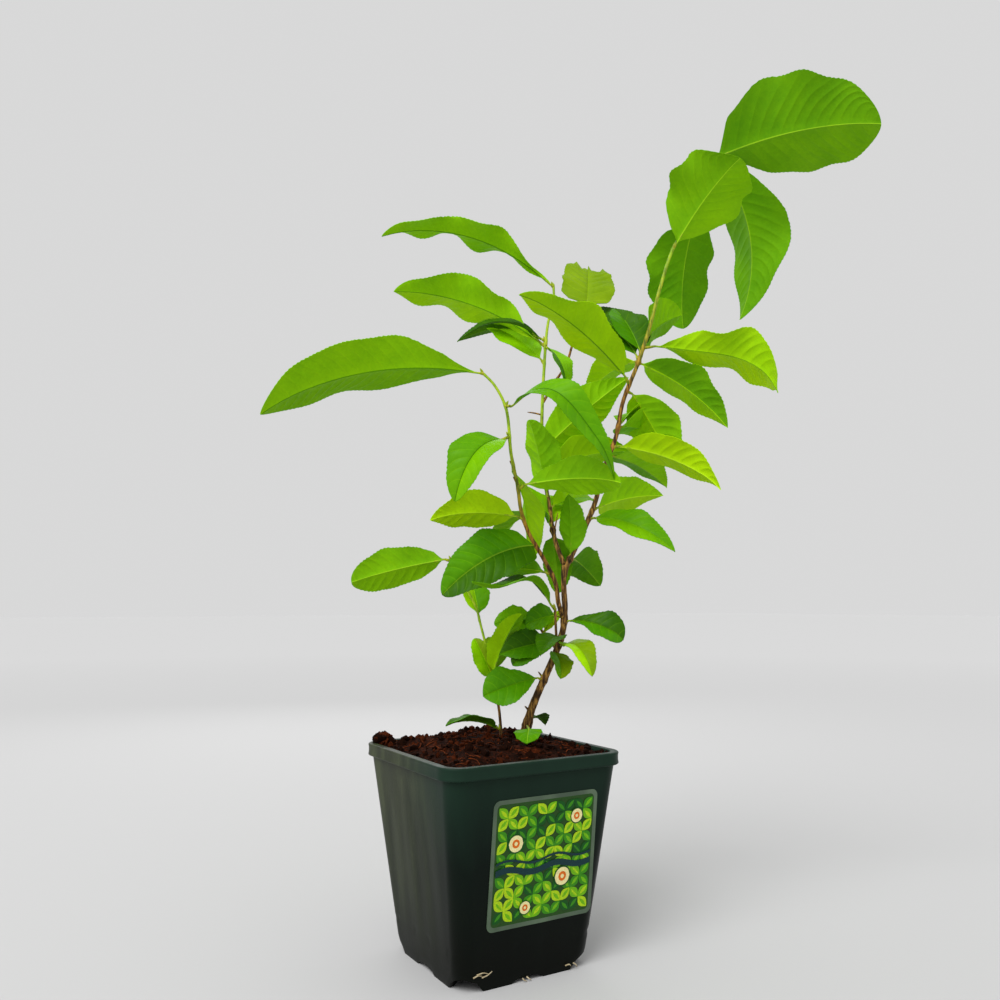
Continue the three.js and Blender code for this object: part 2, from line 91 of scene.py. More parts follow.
def add_light(name, kind, place, direction, **settings):
    """Adds one light at a place, turned to face along a direction."""
    data = bpy.data.lights.new(name, kind)
    for key, value in settings.items():
        setattr(data, key, value)
    light = bpy.data.objects.new(name, data)
    light.location = place
    light.rotation_euler = direction.to_track_quat("-Z", "Y").to_euler()
    bpy.context.scene.collection.objects.link(light)


world = bpy.data.worlds.new("Studio")
world.use_nodes = True
world.node_tree.nodes["Background"].inputs["Color"].default_value = (1, 1, 1, 1)
world.node_tree.nodes["Background"].inputs["Strength"].default_value = WORLD_LIGHT
bpy.context.scene.world = world
bpy.context.scene.view_settings.view_transform = "Standard"
add_light("Sun", "SUN", Vector((0, 0, 1)), SUN_DIRECTION, energy=SUN_STRENGTH, angle=SUN_ANGLE)
for panel_name, panel_place, panel_size, panel_energy in PANELS:
    toward = CAMERA_AIM - panel_place
    add_light(panel_name, "AREA", panel_place, toward, energy=panel_energy, size=panel_size)
print("lights:", 1 + len(PANELS))

# %% [markdown]
# Shader sums as plain sums
#
# A finish such as bark is a small sum over noise and height. Blender writes it as nodes,
# which are long to set one by one, so a socket is wrapped in a class whose plus, minus
# and times add the nodes, and a finish is a class that holds one shader.

# %% Sockets and finishes
class Signal:
    """One output of a finish's nodes. Plus, minus, times and divide add Math nodes."""

    def __init__(self, finish, socket):
        self.finish = finish
        self.socket = socket

    def math(self, operation, first, second):
        """One Math node: an operation on two values or signals."""
        return self.finish.node("ShaderNodeMath", {"operation": operation}, {0: first, 1: second})

    def __add__(self, other):
        return self.math("ADD", self, other)

    def __radd__(self, other):
        return self.math("ADD", other, self)

    def __sub__(self, other):
        return self.math("SUBTRACT", self, other)

    def __rsub__(self, other):
        return self.math("SUBTRACT", other, self)

    def __mul__(self, other):
        return self.math("MULTIPLY", self, other)

    def __rmul__(self, other):
        return self.math("MULTIPLY", other, self)

    def __truediv__(self, other):
        return self.math("DIVIDE", self, other)


class Finish:
    """One material with a single shader, whose sockets take plain values or signals."""

    def __init__(self, name, **sockets):
        self.material = bpy.data.materials.new(name)
        self.material.use_nodes = True
        self.tree = self.material.node_tree
        self.shader = self.tree.nodes["Principled BSDF"]
        for socket, value in sockets.items():
            self.feed(self.shader.inputs[socket.replace("_", " ")], value)

    def feed(self, socket, value):
        """Links a signal to a socket, or sets a plain value on it."""
        if isinstance(value, Signal):
            self.tree.links.new(value.socket, socket)
        else:
            socket.default_value = value

    def node(self, kind, settings=None, sockets=None, output=0):
        """Adds a node of a type: its settings first, then its sockets' values or links."""
        made = self.tree.nodes.new(kind)
        for key, value in (settings or {}).items():
            setattr(made, key, value)
        for key, value in (sockets or {}).items():
            self.feed(made.inputs[key], value)
        return Signal(self, made.outputs[output])

    def place(self, scale=(1, 1, 1)):
        """Object coordinates in millimetres, stretched by a scale for each axis."""
        where = self.node("ShaderNodeTexCoord", output="Object")
        stretch = tuple(value / MM for value in scale)
        return self.node("ShaderNodeMapping", None, {"Vector": where, "Scale": stretch})

    def noise(self, size, detail=3.0, stretch=(1, 1, 1)):
        """Soft noise from 0 to 1 whose lumps are about size millimetres across."""
        scaled = self.place(tuple(value / size for value in stretch))
        sockets = {"Vector": scaled, "Scale": 1.0, "Detail": detail}
        return self.node("ShaderNodeTexNoise", None, sockets)

    def ramp(self, signal, stops):
        """A colour ramp: stops are pairs of a place from 0 to 1 and a colour."""
        made = self.tree.nodes.new("ShaderNodeValToRGB")
        elements = made.color_ramp.elements
        while len(elements) < len(stops):
            elements.new(0.5)
        for element, (place, colour) in zip(elements, stops):
            element.position = place
            element.color = colour
        self.feed(made.inputs["Fac"], signal)
        return Signal(self, made.outputs["Color"])

    def mix(self, share, first, second):
        """Two colours mixed by a share from 0 to 1."""
        sockets = {"Factor": share, 6: first, 7: second}
        return self.node("ShaderNodeMix", {"data_type": "RGBA"}, sockets, 2)

    def bump(self, height, strength, depth):
        """Turns a height signal into a bent normal, with the full depth in millimetres."""
        sockets = {"Strength": strength, "Distance": depth * MM, "Height": height}
        self.feed(self.shader.inputs["Normal"], self.node("ShaderNodeBump", None, sockets))

    def colour(self, value):
        """Sets the base colour: one colour all over, or a signal."""
        self.feed(self.shader.inputs["Base Color"], value)


def paint(red, green, blue):
    """A display colour as linear light: above a small foot, ((c + 0.055) / 1.055) ** 2.4."""
    shares = np.array([red, green, blue]) / 255
    linear = np.where(shares <= 0.04045, shares / 12.92, ((shares + 0.055) / 1.055) ** 2.4)
    return (*linear.tolist(), 1.0)


print("finish helpers ready")

# %% [markdown]
# Collecting closed shapes
#
# A mass of foliage is many small closed shapes in one mesh. Each shape is worked out as
# whole arrays of points and faces, and a batch collects them, counts their points and
# puts them into one mesh at the end, with a paint number for every face.

# %% Batch of shapes
BODY = "root"
SHARP_ANGLE = np.radians(48)


class Batch:
    """Closed shapes for one joined piece. Points are in millimetres."""

    def __init__(self):
        self.points = []
        self.faces = []
        self.paints = []
        self.ages = []
        self.count = 0

    def add(self, points, faces, paints=0, ages=0.0):
        """Adds a shape: its points, its faces as rows of point numbers, a paint for each face.

        An age for each point says how far a bark has turned from green to brown."""
        points = np.asarray(points, float).reshape(-1, 3)
        self.points.append(points)
        self.faces += [tuple(int(corner) + self.count for corner in face) for face in faces]
        self.paints.append(np.broadcast_to(paints, len(faces)))
        self.ages.append(np.broadcast_to(ages, len(points)))
        self.count += len(points)

    def piece(self, name, finishes, slot, *nodes):
        """Makes the mesh, gives it its finishes and lets it stand for the named nodes."""
        mesh = bpy.data.meshes.new(name)
        mesh.from_pydata((np.concatenate(self.points) * MM).tolist(), [], self.faces)
        used, paints = np.unique(np.concatenate(self.paints), return_inverse=True)
        for number in used:
            mesh.materials.append(finishes[number].material)
        mesh.polygons.foreach_set("material_index", paints.astype(np.int32))
        mesh.polygons.foreach_set("use_smooth", np.ones(len(self.faces), bool))
        age = mesh.attributes.new("age", "FLOAT", "POINT")
        age.data.foreach_set("value", np.concatenate(self.ages).astype(np.float32))
        mesh.set_sharp_from_angle(angle=float(SHARP_ANGLE))
        made = bpy.data.objects.new(name, mesh)
        bpy.context.scene.collection.objects.link(made)
        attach(made, BODY)
        if nodes:
            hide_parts(*nodes)
        triangles = sum(len(face) - 2 for face in self.faces)
        print(f"{name}: {triangles} triangles")


def grid_faces(rows, columns, closed=False):
    """Faces of a grid of points. Its outside is where along-a-row turns into row-to-row."""
    across_count = columns if closed else columns - 1
    row, column = np.meshgrid(np.arange(rows - 1), np.arange(across_count), indexing="ij")
    after = (column + 1) % columns
    corners = [row * columns + column, row * columns + after]
    corners += [(row + 1) * columns + after, (row + 1) * columns + column]
    return np.stack(corners, axis=-1).reshape(-1, 4)


def shell_faces(rows, columns):
    """Faces of a closed shell: an upper grid, an under grid turned over, and the rim between.

    The under grid's points follow the upper grid's. Also gives how many faces the rim has."""
    skin = grid_faces(rows, columns)
    count = rows * columns
    number = np.arange(count).reshape(rows, columns)
    rim = np.concatenate([number[0, :-1], number[:-1, -1], number[-1, :0:-1], number[:0:-1, 0]])
    after = np.roll(rim, -1)
    closing = np.stack([rim, rim + count, after + count, after], axis=1)
    return np.concatenate([skin, skin[:, ::-1] + count, closing]), len(rim)


def rings_shape(rings):
    """A closed skin from rings of points, each end closed by one flat face.

    rings has the shape (rows, points round, 3), and each ring turns round the way ahead."""
    rows, around = rings.shape[:2]
    faces = grid_faces(rows, around, closed=True).tolist()
    faces.append(np.arange(around)[::-1].tolist())
    faces.append((np.arange(around) + (rows - 1) * around).tolist())
    return rings.reshape(-1, 3), faces


def unit(vectors):
    """Vectors of length one: each one divided by the root of its squares' sum."""
    vectors = np.asarray(vectors, float)
    return vectors / np.linalg.norm(vectors, axis=-1, keepdims=True)


print("mesh helpers ready")

# %% [markdown]
# The pot
#
# A nursery pot is blown or pressed from thin plastic: tapering walls with rounded
# corners, a folded band at the rim, a step under it, and low arches cut out at the foot
# so that water can leave. It could be a cube with bevels and Boolean cuts, but a ring of
# points that follows a rounded square, carried along a profile, gives every edge its
# small radius, and the arches come from lifting the lowest ring.

# %% Pot sizes
POT_HEIGHT = 92.0
RIM_HALF = 45.0
RIM_BAND = 5.5
RIM_STEP = 2.2
RIM_EDGE = 0.6
FOOT_HALF = 32.2
WALL = 1.5
POT_CORNER = 8.0
UNDER_RIM = POT_HEIGHT - RIM_BAND
FLOOR_TOP = 7.5
DRAIN_REACH = 10.0
DRAIN_HEIGHT = 5.6
SLOT_REACH = 7.5
SLOT_HEIGHT = 2.0
CREASE_HEIGHT = 14.5
CREASE_DEPTH = 0.22
CREASE_REACH = 0.7
WALL_WAVE = 0.14
LONG_WAVE = 0.19
SHORT_WAVE = 0.5
SHORT_SHARE = 0.4
SIDE_STEPS = 54
CORNER_STEPS = 14


def pot_half(height):
    """Half the wall's side: it grows evenly from the foot to the step under the rim."""
    share = np.clip(np.asarray(height, float) / UNDER_RIM, 0, 1)
    return FOOT_HALF + (RIM_HALF - RIM_STEP - FOOT_HALF) * share


def square_walk(side_steps=SIDE_STEPS, corner_steps=CORNER_STEPS):
    """A rounded square as two unit lists: where the corner's centre is, and which way out.

    A point is centre * (half - corner) + outward * corner, so one list serves every size."""
    centres = []
    outward = []
    for side in range(4):
        start = side * np.pi / 2
        turn = start + np.linspace(0, np.pi / 2, corner_steps)
        here = np.array([np.cos(start + np.pi / 4), np.sin(start + np.pi / 4)]) * np.sqrt(2)
        there = np.array([-here[1], here[0]])
        steps = np.linspace(0, 1, side_steps + 1)[1:-1, None]
        centres += [np.tile(here, (corner_steps, 1)), here + (there - here) * steps]
        flat = np.array([np.cos(start + np.pi / 2), np.sin(start + np.pi / 2)])
        outward += [np.stack([np.cos(turn), np.sin(turn)], axis=1), np.tile(flat, (len(steps), 1))]
    return np.concatenate(centres), np.concatenate(outward)


WALK_CENTRES, WALK_OUTWARD = square_walk()


def square_ring(half, corner, height):
    """One ring of the walk. Half side, corner radius and height may change round the ring."""
    around = len(WALK_CENTRES)
    half = np.broadcast_to(half, around)[:, None]
    corner = np.broadcast_to(corner, around)[:, None]
    flat = WALK_CENTRES * (half - corner) + WALK_OUTWARD * corner
    return np.column_stack([flat, np.broadcast_to(height, around)])


def foot_lift():
    """How far the foot's edge is lifted: a low elliptical arch at each corner and slot.

    The arch's height is its full height times the root of 1 minus (distance / reach)
    squared, where the distance is measured along the side."""
    foot = square_ring(FOOT_HALF, POT_CORNER, 0)
    along = np.abs(foot[:, :2]).min(axis=1)
    corner = np.clip(1 - ((FOOT_HALF - along) / DRAIN_REACH) ** 2, 0, 1) ** 0.5
    slot = np.clip(1 - (along / SLOT_REACH) ** 2, 0, 1) ** 0.5
    return DRAIN_HEIGHT * corner + SLOT_HEIGHT * slot


def wall_wave(along, height):
    """Thin plastic is never flat: a slow wave along the wall, and a pressed line low down."""
    slow = np.sin(LONG_WAVE * along + 0.6) * np.sin(0.034 * height)
    slow = slow + SHORT_SHARE * np.sin(SHORT_WAVE * along)
    fade = np.sin(np.pi * np.clip(height / UNDER_RIM, 0, 1))
    crease = -CREASE_DEPTH * np.exp(-((height - CREASE_HEIGHT) / CREASE_REACH) ** 2)
    return WALL_WAVE * slow * fade + crease


print("points round the pot:", len(WALK_CENTRES))

# %% [markdown]
# The pot's rings
#
# The whole pot is one closed skin, so its rings are listed in the order in which a finger
# would follow it: from the middle of the underside over the foot, up the outer wall, over
# the rim's band and down inside to the floor. It could be turned into shape by Solidify,
# but the band is thicker than the wall and the foot is arched, so each ring is placed.

# %% Pot shape
UNDERSIDE_RINGS = 24
UNDERSIDE_CORNER = 6.5
DOME_FROM = 0.62
DOME_SPAN = 0.36
DOME_POWER = 0.7
FOOT_EDGE = 0.25
WALL_RINGS = 46
STEP_EDGE = 0.4
TURN_RINGS = 4
BAND_RINGS = 5
BAND_MARGIN = 1.2
BAND_HOLLOW = 0.18
LIP_EDGE = 0.3
INSIDE_HEIGHTS = (UNDER_RIM, 60.0, 30.0, FLOOR_TOP + 1.0)
FLOOR_EDGE = 0.8


def wall_ring(height, inset=0.0):
    """A ring of the wall, moved out by the wave, at a height that may change round it."""
    plain = square_ring(pot_half(height), POT_CORNER, height)
    along = np.where(np.abs(plain[:, 0]) > np.abs(plain[:, 1]), plain[:, 1], plain[:, 0])
    half = pot_half(height) + wall_wave(along, plain[:, 2]) - inset
    return square_ring(half, POT_CORNER - inset, height)


def make_pot():
    """Rings from the underside's middle, over the foot, up the wall, over the rim and down."""
    lift = foot_lift()
    rim_corner = POT_CORNER + RIM_STEP
    inside = FOOT_HALF - WALL
    rings = []
    for share in np.linspace(0.05, 0.98, UNDERSIDE_RINGS):
        dome = lift * np.clip((share - DOME_FROM) / DOME_SPAN, 0, 1) ** DOME_POWER
        rings.append(square_ring(inside * share, UNDERSIDE_CORNER * share, dome))
    rings.append(wall_ring(lift, WALL * 0.7))
    rings.append(wall_ring(lift, FOOT_EDGE))
    for share in np.linspace(0, 1, WALL_RINGS)[1:]:
        climb = (UNDER_RIM - STEP_EDGE - lift - FOOT_EDGE) * share
        rings.append(wall_ring(lift + FOOT_EDGE + climb))
    step = RIM_HALF - RIM_STEP
    turn = np.linspace(0, np.pi / 2, TURN_RINGS)
    for angle in turn:
        edge = RIM_EDGE * np.sin(angle)
        low = RIM_EDGE * (1 - np.cos(angle))
        rings.append(square_ring(RIM_HALF - RIM_EDGE + edge, rim_corner, UNDER_RIM + low))
    for height in np.linspace(UNDER_RIM + BAND_MARGIN, POT_HEIGHT - BAND_MARGIN, BAND_RINGS):
        bow = -BAND_HOLLOW * np.sin(np.pi * (height - UNDER_RIM) / RIM_BAND)
        rings.append(square_ring(RIM_HALF + bow, rim_corner, height))
    for angle in turn:
        edge = RIM_EDGE * (1 - np.cos(angle))
        high = RIM_EDGE * (1 - np.sin(angle))
        rings.append(square_ring(RIM_HALF - edge, rim_corner, POT_HEIGHT - high))
    inner_corner = POT_CORNER - WALL
    rings.append(square_ring(step - WALL + LIP_EDGE, inner_corner, POT_HEIGHT))
    rings.append(square_ring(step - WALL, inner_corner, POT_HEIGHT - STEP_EDGE))
    for height in INSIDE_HEIGHTS:
        rings.append(square_ring(pot_half(height) - WALL, inner_corner, height))
    floor_half = float(pot_half(FLOOR_TOP)) - WALL - FLOOR_EDGE
    for share in (1, 0.5, 0.1):
        rings.append(square_ring(floor_half * share, inner_corner * share, FLOOR_TOP))
    return rings_shape(np.array(rings))


pot_batch = Batch()
pot_batch.add(*make_pot())
print("pot points:", pot_batch.count)

# %% [markdown]
# The pot's plastic
#
# The plastic is a green so dark that it looks black, softly glossy, and painted a little
# lighter towards the rim and darker towards the foot, as painted light and painted shade.
# The face turned to the light is painted an olive grey in upright streaks, as painted
# light and painted reflections on the wavy wall, and its front corner keeps the dark
# colour as painted shade. An image could carry the streaks, but noise stretched upwards
# gives them at any size, and shares that rise along the sides keep the painted light on
# its own face, off the corners.

# %% Pot plastic
pot_plastic = Finish("pot_plastic", Roughness=0.34, Specular_IOR_Level=0.08)
mottle = pot_plastic.noise(9.0, 4.0, stretch=(1, 1, 0.2))
fine_speck = pot_plastic.noise(1.3, 5.0)
pot_where = pot_plastic.place()
pot_x = pot_plastic.node("ShaderNodeSeparateXYZ", None, {0: pot_where}, "X")
pot_y = pot_plastic.node("ShaderNodeSeparateXYZ", None, {0: pot_where}, "Y")
pot_z = pot_plastic.node("ShaderNodeSeparateXYZ", None, {0: pot_where}, "Z")


def rising(signal, low, high):
    """A share that goes smoothly from 0 at a low value to 1 at a high value."""
    smooth = {"interpolation_type": "SMOOTHSTEP"}
    return pot_plastic.node("ShaderNodeMapRange", smooth, {0: signal, 1: low, 2: high})


# Painted light: the face turned to the sun, away from its front corner and back edge, is painted lighter,
# most of all near the rim.
left_side = rising(pot_x * -1, 30.0, 34.0)
off_corner = rising(pot_y, -38.0, 12.0)
off_back = 1 - rising(pot_y, 37.0, 44.0)
painted_light_share = left_side * off_corner * off_back * (0.12 + 0.88 * rising(pot_z, 0.0, 70.0))
# The plastic's own near-black green, painted darker towards the foot as painted shade and lighter towards
# the rim as painted light.
fresh = pot_plastic.ramp(pot_z / 100 + 0.2 * (mottle - 0.5), [
    (0.1, paint(8, 11, 7)), (0.5, paint(10, 20, 15)), (0.95, paint(26, 47, 36))])
# Painted light and painted reflections: the olive grey of the lit face, with lighter upright streaks.
painted_lit_streaks = pot_plastic.ramp(mottle * 0.8 + fine_speck * 0.2, [
    (0.36, paint(32, 38, 22)), (0.5, paint(47, 53, 35)), (0.64, paint(64, 71, 48))])
pot_plastic.colour(pot_plastic.mix(painted_light_share, fresh, painted_lit_streaks))
pot_plastic.feed(pot_plastic.shader.inputs["Roughness"], 0.22 + 0.22 * mottle + 0.08 * fine_speck)
pot_plastic.bump(mottle * 0.7 + fine_speck * 0.3, 0.35, 0.25)
pot_batch.piece("pot_shell", [pot_plastic], "pot", "pot")

# %% [markdown]
# The soil
#
# Potting soil is dark peat with red-brown fibres. It stands a little proud of the rim in
# the middle and is heaped against the back edge. A displaced plane would do for the
# surface, but the crumbs that stand up against the rim are what the eye reads, so the
# soil is a clumpy mound with several hundred crumbs and fibres lying on it.

# %% Soil surface
SOIL_EDGE = 90.0
SOIL_MOUND = 4.7
SOIL_FLAT = 0.56
SOIL_GAP = 0.3
SOIL_RINGS = 70
SOIL_HEAP = 3.2
HEAP_PLACE = (14, 37)
HEAP_SPREAD = (20, 6)
LUMP_SIZES = ((11.0, 0.9), (4.5, 0.8), (1.9, 0.45), (0.9, 0.2))
LUMP_SEED = 5
NET_SIZE = 128
NET_MIDDLE = 60


def lumps(x, y, size, seed):
    """Soft random hills: random heights on a square net, joined by a smooth step between."""
    net = np.random.default_rng(seed).random((NET_SIZE, NET_SIZE))
    column = x / size + NET_MIDDLE
    row = y / size + NET_MIDDLE
    c = np.floor(column).astype(int) % (NET_SIZE - 1)
    r = np.floor(row).astype(int) % (NET_SIZE - 1)
    u = column - np.floor(column)
    v = row - np.floor(row)
    u = u * u * (3 - 2 * u)
    v = v * v * (3 - 2 * v)
    low = net[r, c] * (1 - u) + net[r, c + 1] * u
    high = net[r + 1, c] * (1 - u) + net[r + 1, c + 1] * u
    return low * (1 - v) + high * v - 0.5


def soil_height(x, y):
    """A mound, flat in the middle, falling to the edge, plus hills of four sizes and a heap."""
    reach = float(pot_half(SOIL_EDGE)) - WALL
    outward = np.maximum(np.abs(x), np.abs(y)) / reach
    slope = np.clip((outward - SOIL_FLAT) / (1 - SOIL_FLAT), 0, 1)
    height = SOIL_EDGE + SOIL_MOUND * (1 - slope)
    for seed, (size, strength) in enumerate(LUMP_SIZES):
        height = height + strength * lumps(x, y, size, seed + LUMP_SEED)
    heap_x = (x - HEAP_PLACE[0]) / HEAP_SPREAD[0]
    heap_y = (y - HEAP_PLACE[1]) / HEAP_SPREAD[1]
    return height + SOIL_HEAP * np.exp(-heap_x ** 2 - heap_y ** 2)


def soil_half(height):
    """Half the soil's side: the wall's inside, less a small gap."""
    return float(pot_half(height)) - WALL - SOIL_GAP


def make_soil():
    """Rings from the soil's foot up the wall, then inwards over the rough surface."""
    corner = POT_CORNER - WALL - SOIL_GAP
    rings = []
    for share in (0.1, 1):
        low_half = (soil_half(FLOOR_TOP) - 1) * share
        rings.append(square_ring(low_half, corner * share, FLOOR_TOP + SOIL_GAP))
    rings.append(square_ring(soil_half(SOIL_EDGE), corner, SOIL_EDGE - 3))
    for share in np.linspace(1, 0.015, SOIL_RINGS):
        ring = square_ring(soil_half(SOIL_EDGE) * share, corner * share, 0)
        ring[:, 2] = soil_height(ring[:, 0], ring[:, 1])
        rings.append(ring)
    return rings_shape(np.array(rings))


peat = Finish("peat", Roughness=0.95, Specular_IOR_Level=0.04)
peat_grain = peat.noise(1.1, 6.0)
peat.colour(peat.ramp(
    peat_grain * 0.6 + peat.noise(7.0) * 0.4,
    [(0.34, paint(9, 4, 2)), (0.5, paint(28, 11, 5)), (0.68, paint(74, 31, 12))],
))
peat.bump(peat_grain, 0.8, 0.8)

soil_batch = Batch()
soil_batch.add(*make_soil())
soil_batch.piece("soil_mound", [peat], "soil", "soil")

# %% [markdown]
# Crumbs, fibres and root ends
#
# Peat is full of loose crumbs, red-brown fibres lie between them, and at the drain
# openings a few pale root ends peep out. Particles on the mound could scatter them. Here
# each one is placed by a seeded draw, so that the same soil comes out every time, and a
# crumb is the plainest ball, of twenty faces, because there are hundreds.

# %% Colours of the crumbs and fibres
def speckled(name, roughness, sheen, size, dark, light):
    """A finish whose colour runs from a dark to a light one over noise of one size."""
    made = Finish(name, Roughness=roughness, Specular_IOR_Level=sheen)
    made.colour(made.ramp(made.noise(size), [(0.3, paint(*dark)), (0.7, paint(*light))]))
    return made


peat_dark = speckled("peat_crumb_dark", 0.95, 0.04, 0.8, (10, 4, 2), (34, 14, 6))
peat_brown = speckled("peat_crumb_brown", 0.95, 0.04, 0.8, (38, 15, 6), (80, 34, 13))
fibre_red = speckled("peat_fibre", 0.85, 0.05, 2.5, (64, 24, 8), (110, 52, 22))
root_pale = speckled("root_hair", 0.7, 0.5, 1.5, (150, 132, 96), (205, 192, 160))
print("soil colours ready")

# %% One crumb
BALL_RADIUS = 0.894
BALL_LEVEL = 0.447
CRUMB_DENT = 0.32
UPPER_TURNS = np.arange(5) * 2 * np.pi / 5
LOWER_TURNS = (np.arange(5) + 0.5) * 2 * np.pi / 5
CRUMB_BALL = [(0.0, 0.0, 1.0)]
CRUMB_BALL += [(BALL_RADIUS * np.cos(a), BALL_RADIUS * np.sin(a), BALL_LEVEL) for a in UPPER_TURNS]
CRUMB_BALL += [(BALL_RADIUS * np.cos(a), BALL_RADIUS * np.sin(a), -BALL_LEVEL) for a in LOWER_TURNS]
CRUMB_BALL += [(0.0, 0.0, -1.0)]
CRUMB_FACES = [(0, 1 + k, 1 + (k + 1) % 5) for k in range(5)]
CRUMB_FACES += [(1 + k, 6 + k, 1 + (k + 1) % 5) for k in range(5)]
CRUMB_FACES += [(1 + (k + 1) % 5, 6 + k, 6 + (k + 1) % 5) for k in range(5)]
CRUMB_FACES += [(11, 6 + (k + 1) % 5, 6 + k) for k in range(5)]


def crumb(place, sizes, tumble):
    """A ball of twenty faces, each corner moved in or out by up to a third, stretched and turned."""
    ball = np.array(CRUMB_BALL) * (1 + CRUMB_DENT * (tumble.random((12, 1)) - 0.5) * 2)
    angle = tumble.random() * 2 * np.pi
    c, s = np.cos(angle), np.sin(angle)
    return place + (ball * sizes) @ np.array([[c, -s, 0], [s, c, 0], [0, 0, 1]]).T


print("faces of a crumb:", len(CRUMB_FACES))

# %% Routes and round bars
def smooth_route(corners, steps=8):
    """A route through a few corners: between two of them a cubic whose slopes look ahead.

    At each corner the slope is half the way from the corner before to the corner after."""
    corners = np.asarray(corners, float)
    slopes = np.gradient(corners, axis=0)
    share = np.linspace(0, 1, steps, endpoint=False)[:, None]
    pieces = []
    for k in range(len(corners) - 1):
        first, last, out, back = corners[k], corners[k + 1], slopes[k], slopes[k + 1]
        bend = 3 * (last - first) - 2 * out - back
        close = 2 * (first - last) + out + back
        pieces.append(first + share * (out + share * (bend + share * close)))
    return np.concatenate(pieces + [corners[-1:]])


def tube(route, radii, sides=8):
    """A closed round bar: rings of a radius that may change along the route and round it.

    Every ring stands square to the route, turned from the one axis that the route bends
    about least, so that the bar doesn't twist."""
    route = np.asarray(route, float)
    ahead = unit(np.gradient(route, axis=0))
    axis = np.linalg.svd(ahead, full_matrices=True)[2][-1]
    side = unit(axis - ahead * (ahead @ axis)[:, None])
    up = np.cross(ahead, side)
    angle = np.arange(sides) * 2 * np.pi / sides
    radii = np.broadcast_to(np.asarray(radii, float).reshape(len(route), -1), (len(route), sides))
    ring = np.cos(angle)[:, None] * side[:, None] + np.sin(angle)[:, None] * up[:, None]
    return rings_shape(route[:, None] + radii[..., None] * ring)


print("bar helpers ready")

# %% Crumbs on the soil
CRUMBS = 620
EDGE_CRUMBS = 170
EDGE_FROM = 0.8
HEAP_FROM = -14.0
HEAP_TO = 38.0
SMALLEST_CRUMB = 0.45
CRUMB_GROWTH = 1.5
BROWN_SHARE = 0.3
CLOD_CRUMBS = 60
CLOD_PLACE = (-38.0, 37.5, 93.2)
CLOD_REACH = (3.6, 4.4, 2.6)
CLOD_CRUMB = 1.3
CRUMB_MARGIN = 1.6
scatter = np.random.default_rng(11)
inner_reach = float(pot_half(SOIL_EDGE)) - WALL - CRUMB_MARGIN

crumb_batch = Batch()
for number in range(CRUMBS + EDGE_CRUMBS):
    spot = (scatter.random(2) * 2 - 1) * inner_reach
    if number >= CRUMBS:
        spot = np.array([HEAP_FROM + (HEAP_TO - HEAP_FROM) * scatter.random(),
                         inner_reach * (EDGE_FROM + (1 - EDGE_FROM) * scatter.random())])
    size = SMALLEST_CRUMB + CRUMB_GROWTH * scatter.random() ** 3
    sizes = size * (0.7 + 0.6 * scatter.random(3))
    height = float(soil_height(spot[0], spot[1])) + 0.25 * size
    shape = crumb(np.array([*spot, height]), sizes, scatter)
    crumb_batch.add(shape, CRUMB_FACES, int(scatter.random() < BROWN_SHARE))
for number in range(CLOD_CRUMBS):
    away = unit(scatter.normal(size=3)) * np.array(CLOD_REACH) * (0.5 + 0.5 * scatter.random())
    sizes = CLOD_CRUMB + CLOD_CRUMB * scatter.random(3)
    shape = crumb(np.array(CLOD_PLACE) + away, sizes, scatter)
    crumb_batch.add(shape, CRUMB_FACES, int(number % 3 > 0))
crumb_batch.piece("soil_crumbs", [peat_dark, peat_brown], "soil", "soil")

# %% Fibres and root ends
FIBRES = 130
FIBRE_MARGIN = 3
SHORTEST_FIBRE = 2.5
FIBRE_GROWTH = 6
FIBRE_SWAY = 0.25
THINNEST_FIBRE = 0.13
ROOT_THICK = (0.32, 0.14)

fibre_batch = Batch()
for number in range(FIBRES):
    spot = (scatter.random(2) * 2 - 1) * (inner_reach - FIBRE_MARGIN)
    angle = scatter.random() * 2 * np.pi
    length = SHORTEST_FIBRE + FIBRE_GROWTH * scatter.random()
    way = np.array([np.cos(angle), np.sin(angle)])
    sway = np.array([-way[1], way[0]]) * length * FIBRE_SWAY * (scatter.random() - 0.5)
    flat = np.array([spot - way * length / 2, spot + sway, spot + way * length / 2])
    flat = np.clip(flat, -inner_reach, inner_reach)
    lifted = soil_height(flat[:, 0], flat[:, 1]) + np.array([0.1, 0.9 * scatter.random(), 0.3])
    route = smooth_route(np.column_stack([flat, lifted]), 3)
    thick = THINNEST_FIBRE + 0.2 * scatter.random()
    fibre_batch.add(*tube(route, np.linspace(thick, thick * 0.5, len(route)), 4))
fibre_batch.piece("soil_fibres", [fibre_red], "soil", "soil")

ROOT_HAIRS = [
    ((-3.0, -32.6, 1.6), (-2.4, -33.4, 0.9), (-1.2, -33.2, 0.4)),
    ((-1.0, -32.6, 1.9), (-0.2, -33.6, 1.2), (0.9, -33.2, 0.5)),
    ((18.5, -33.0, 2.6), (20.2, -33.5, 3.0), (21.4, -33.2, 2.0)),
    ((22.6, -33.0, 3.0), (23.8, -33.5, 2.2), (24.6, -33.1, 1.0)),
    ((-27.0, -33.2, 6.6), (-25.0, -33.5, 7.2), (-23.0, -33.3, 6.7)),
    ((-25.4, -33.2, 7.4), (-22.6, -33.6, 7.9), (-20.0, -33.4, 7.0)),
    ((-23.0, -33.2, 6.0), (-20.5, -33.5, 6.6), (-18.2, -33.3, 7.6)),
]
root_batch = Batch()
for hair in ROOT_HAIRS:
    route = smooth_route(hair, 5)
    root_batch.add(*tube(route, np.linspace(*ROOT_THICK, len(route)), 6))
root_batch.piece("root_hairs", [root_pale], "soil")

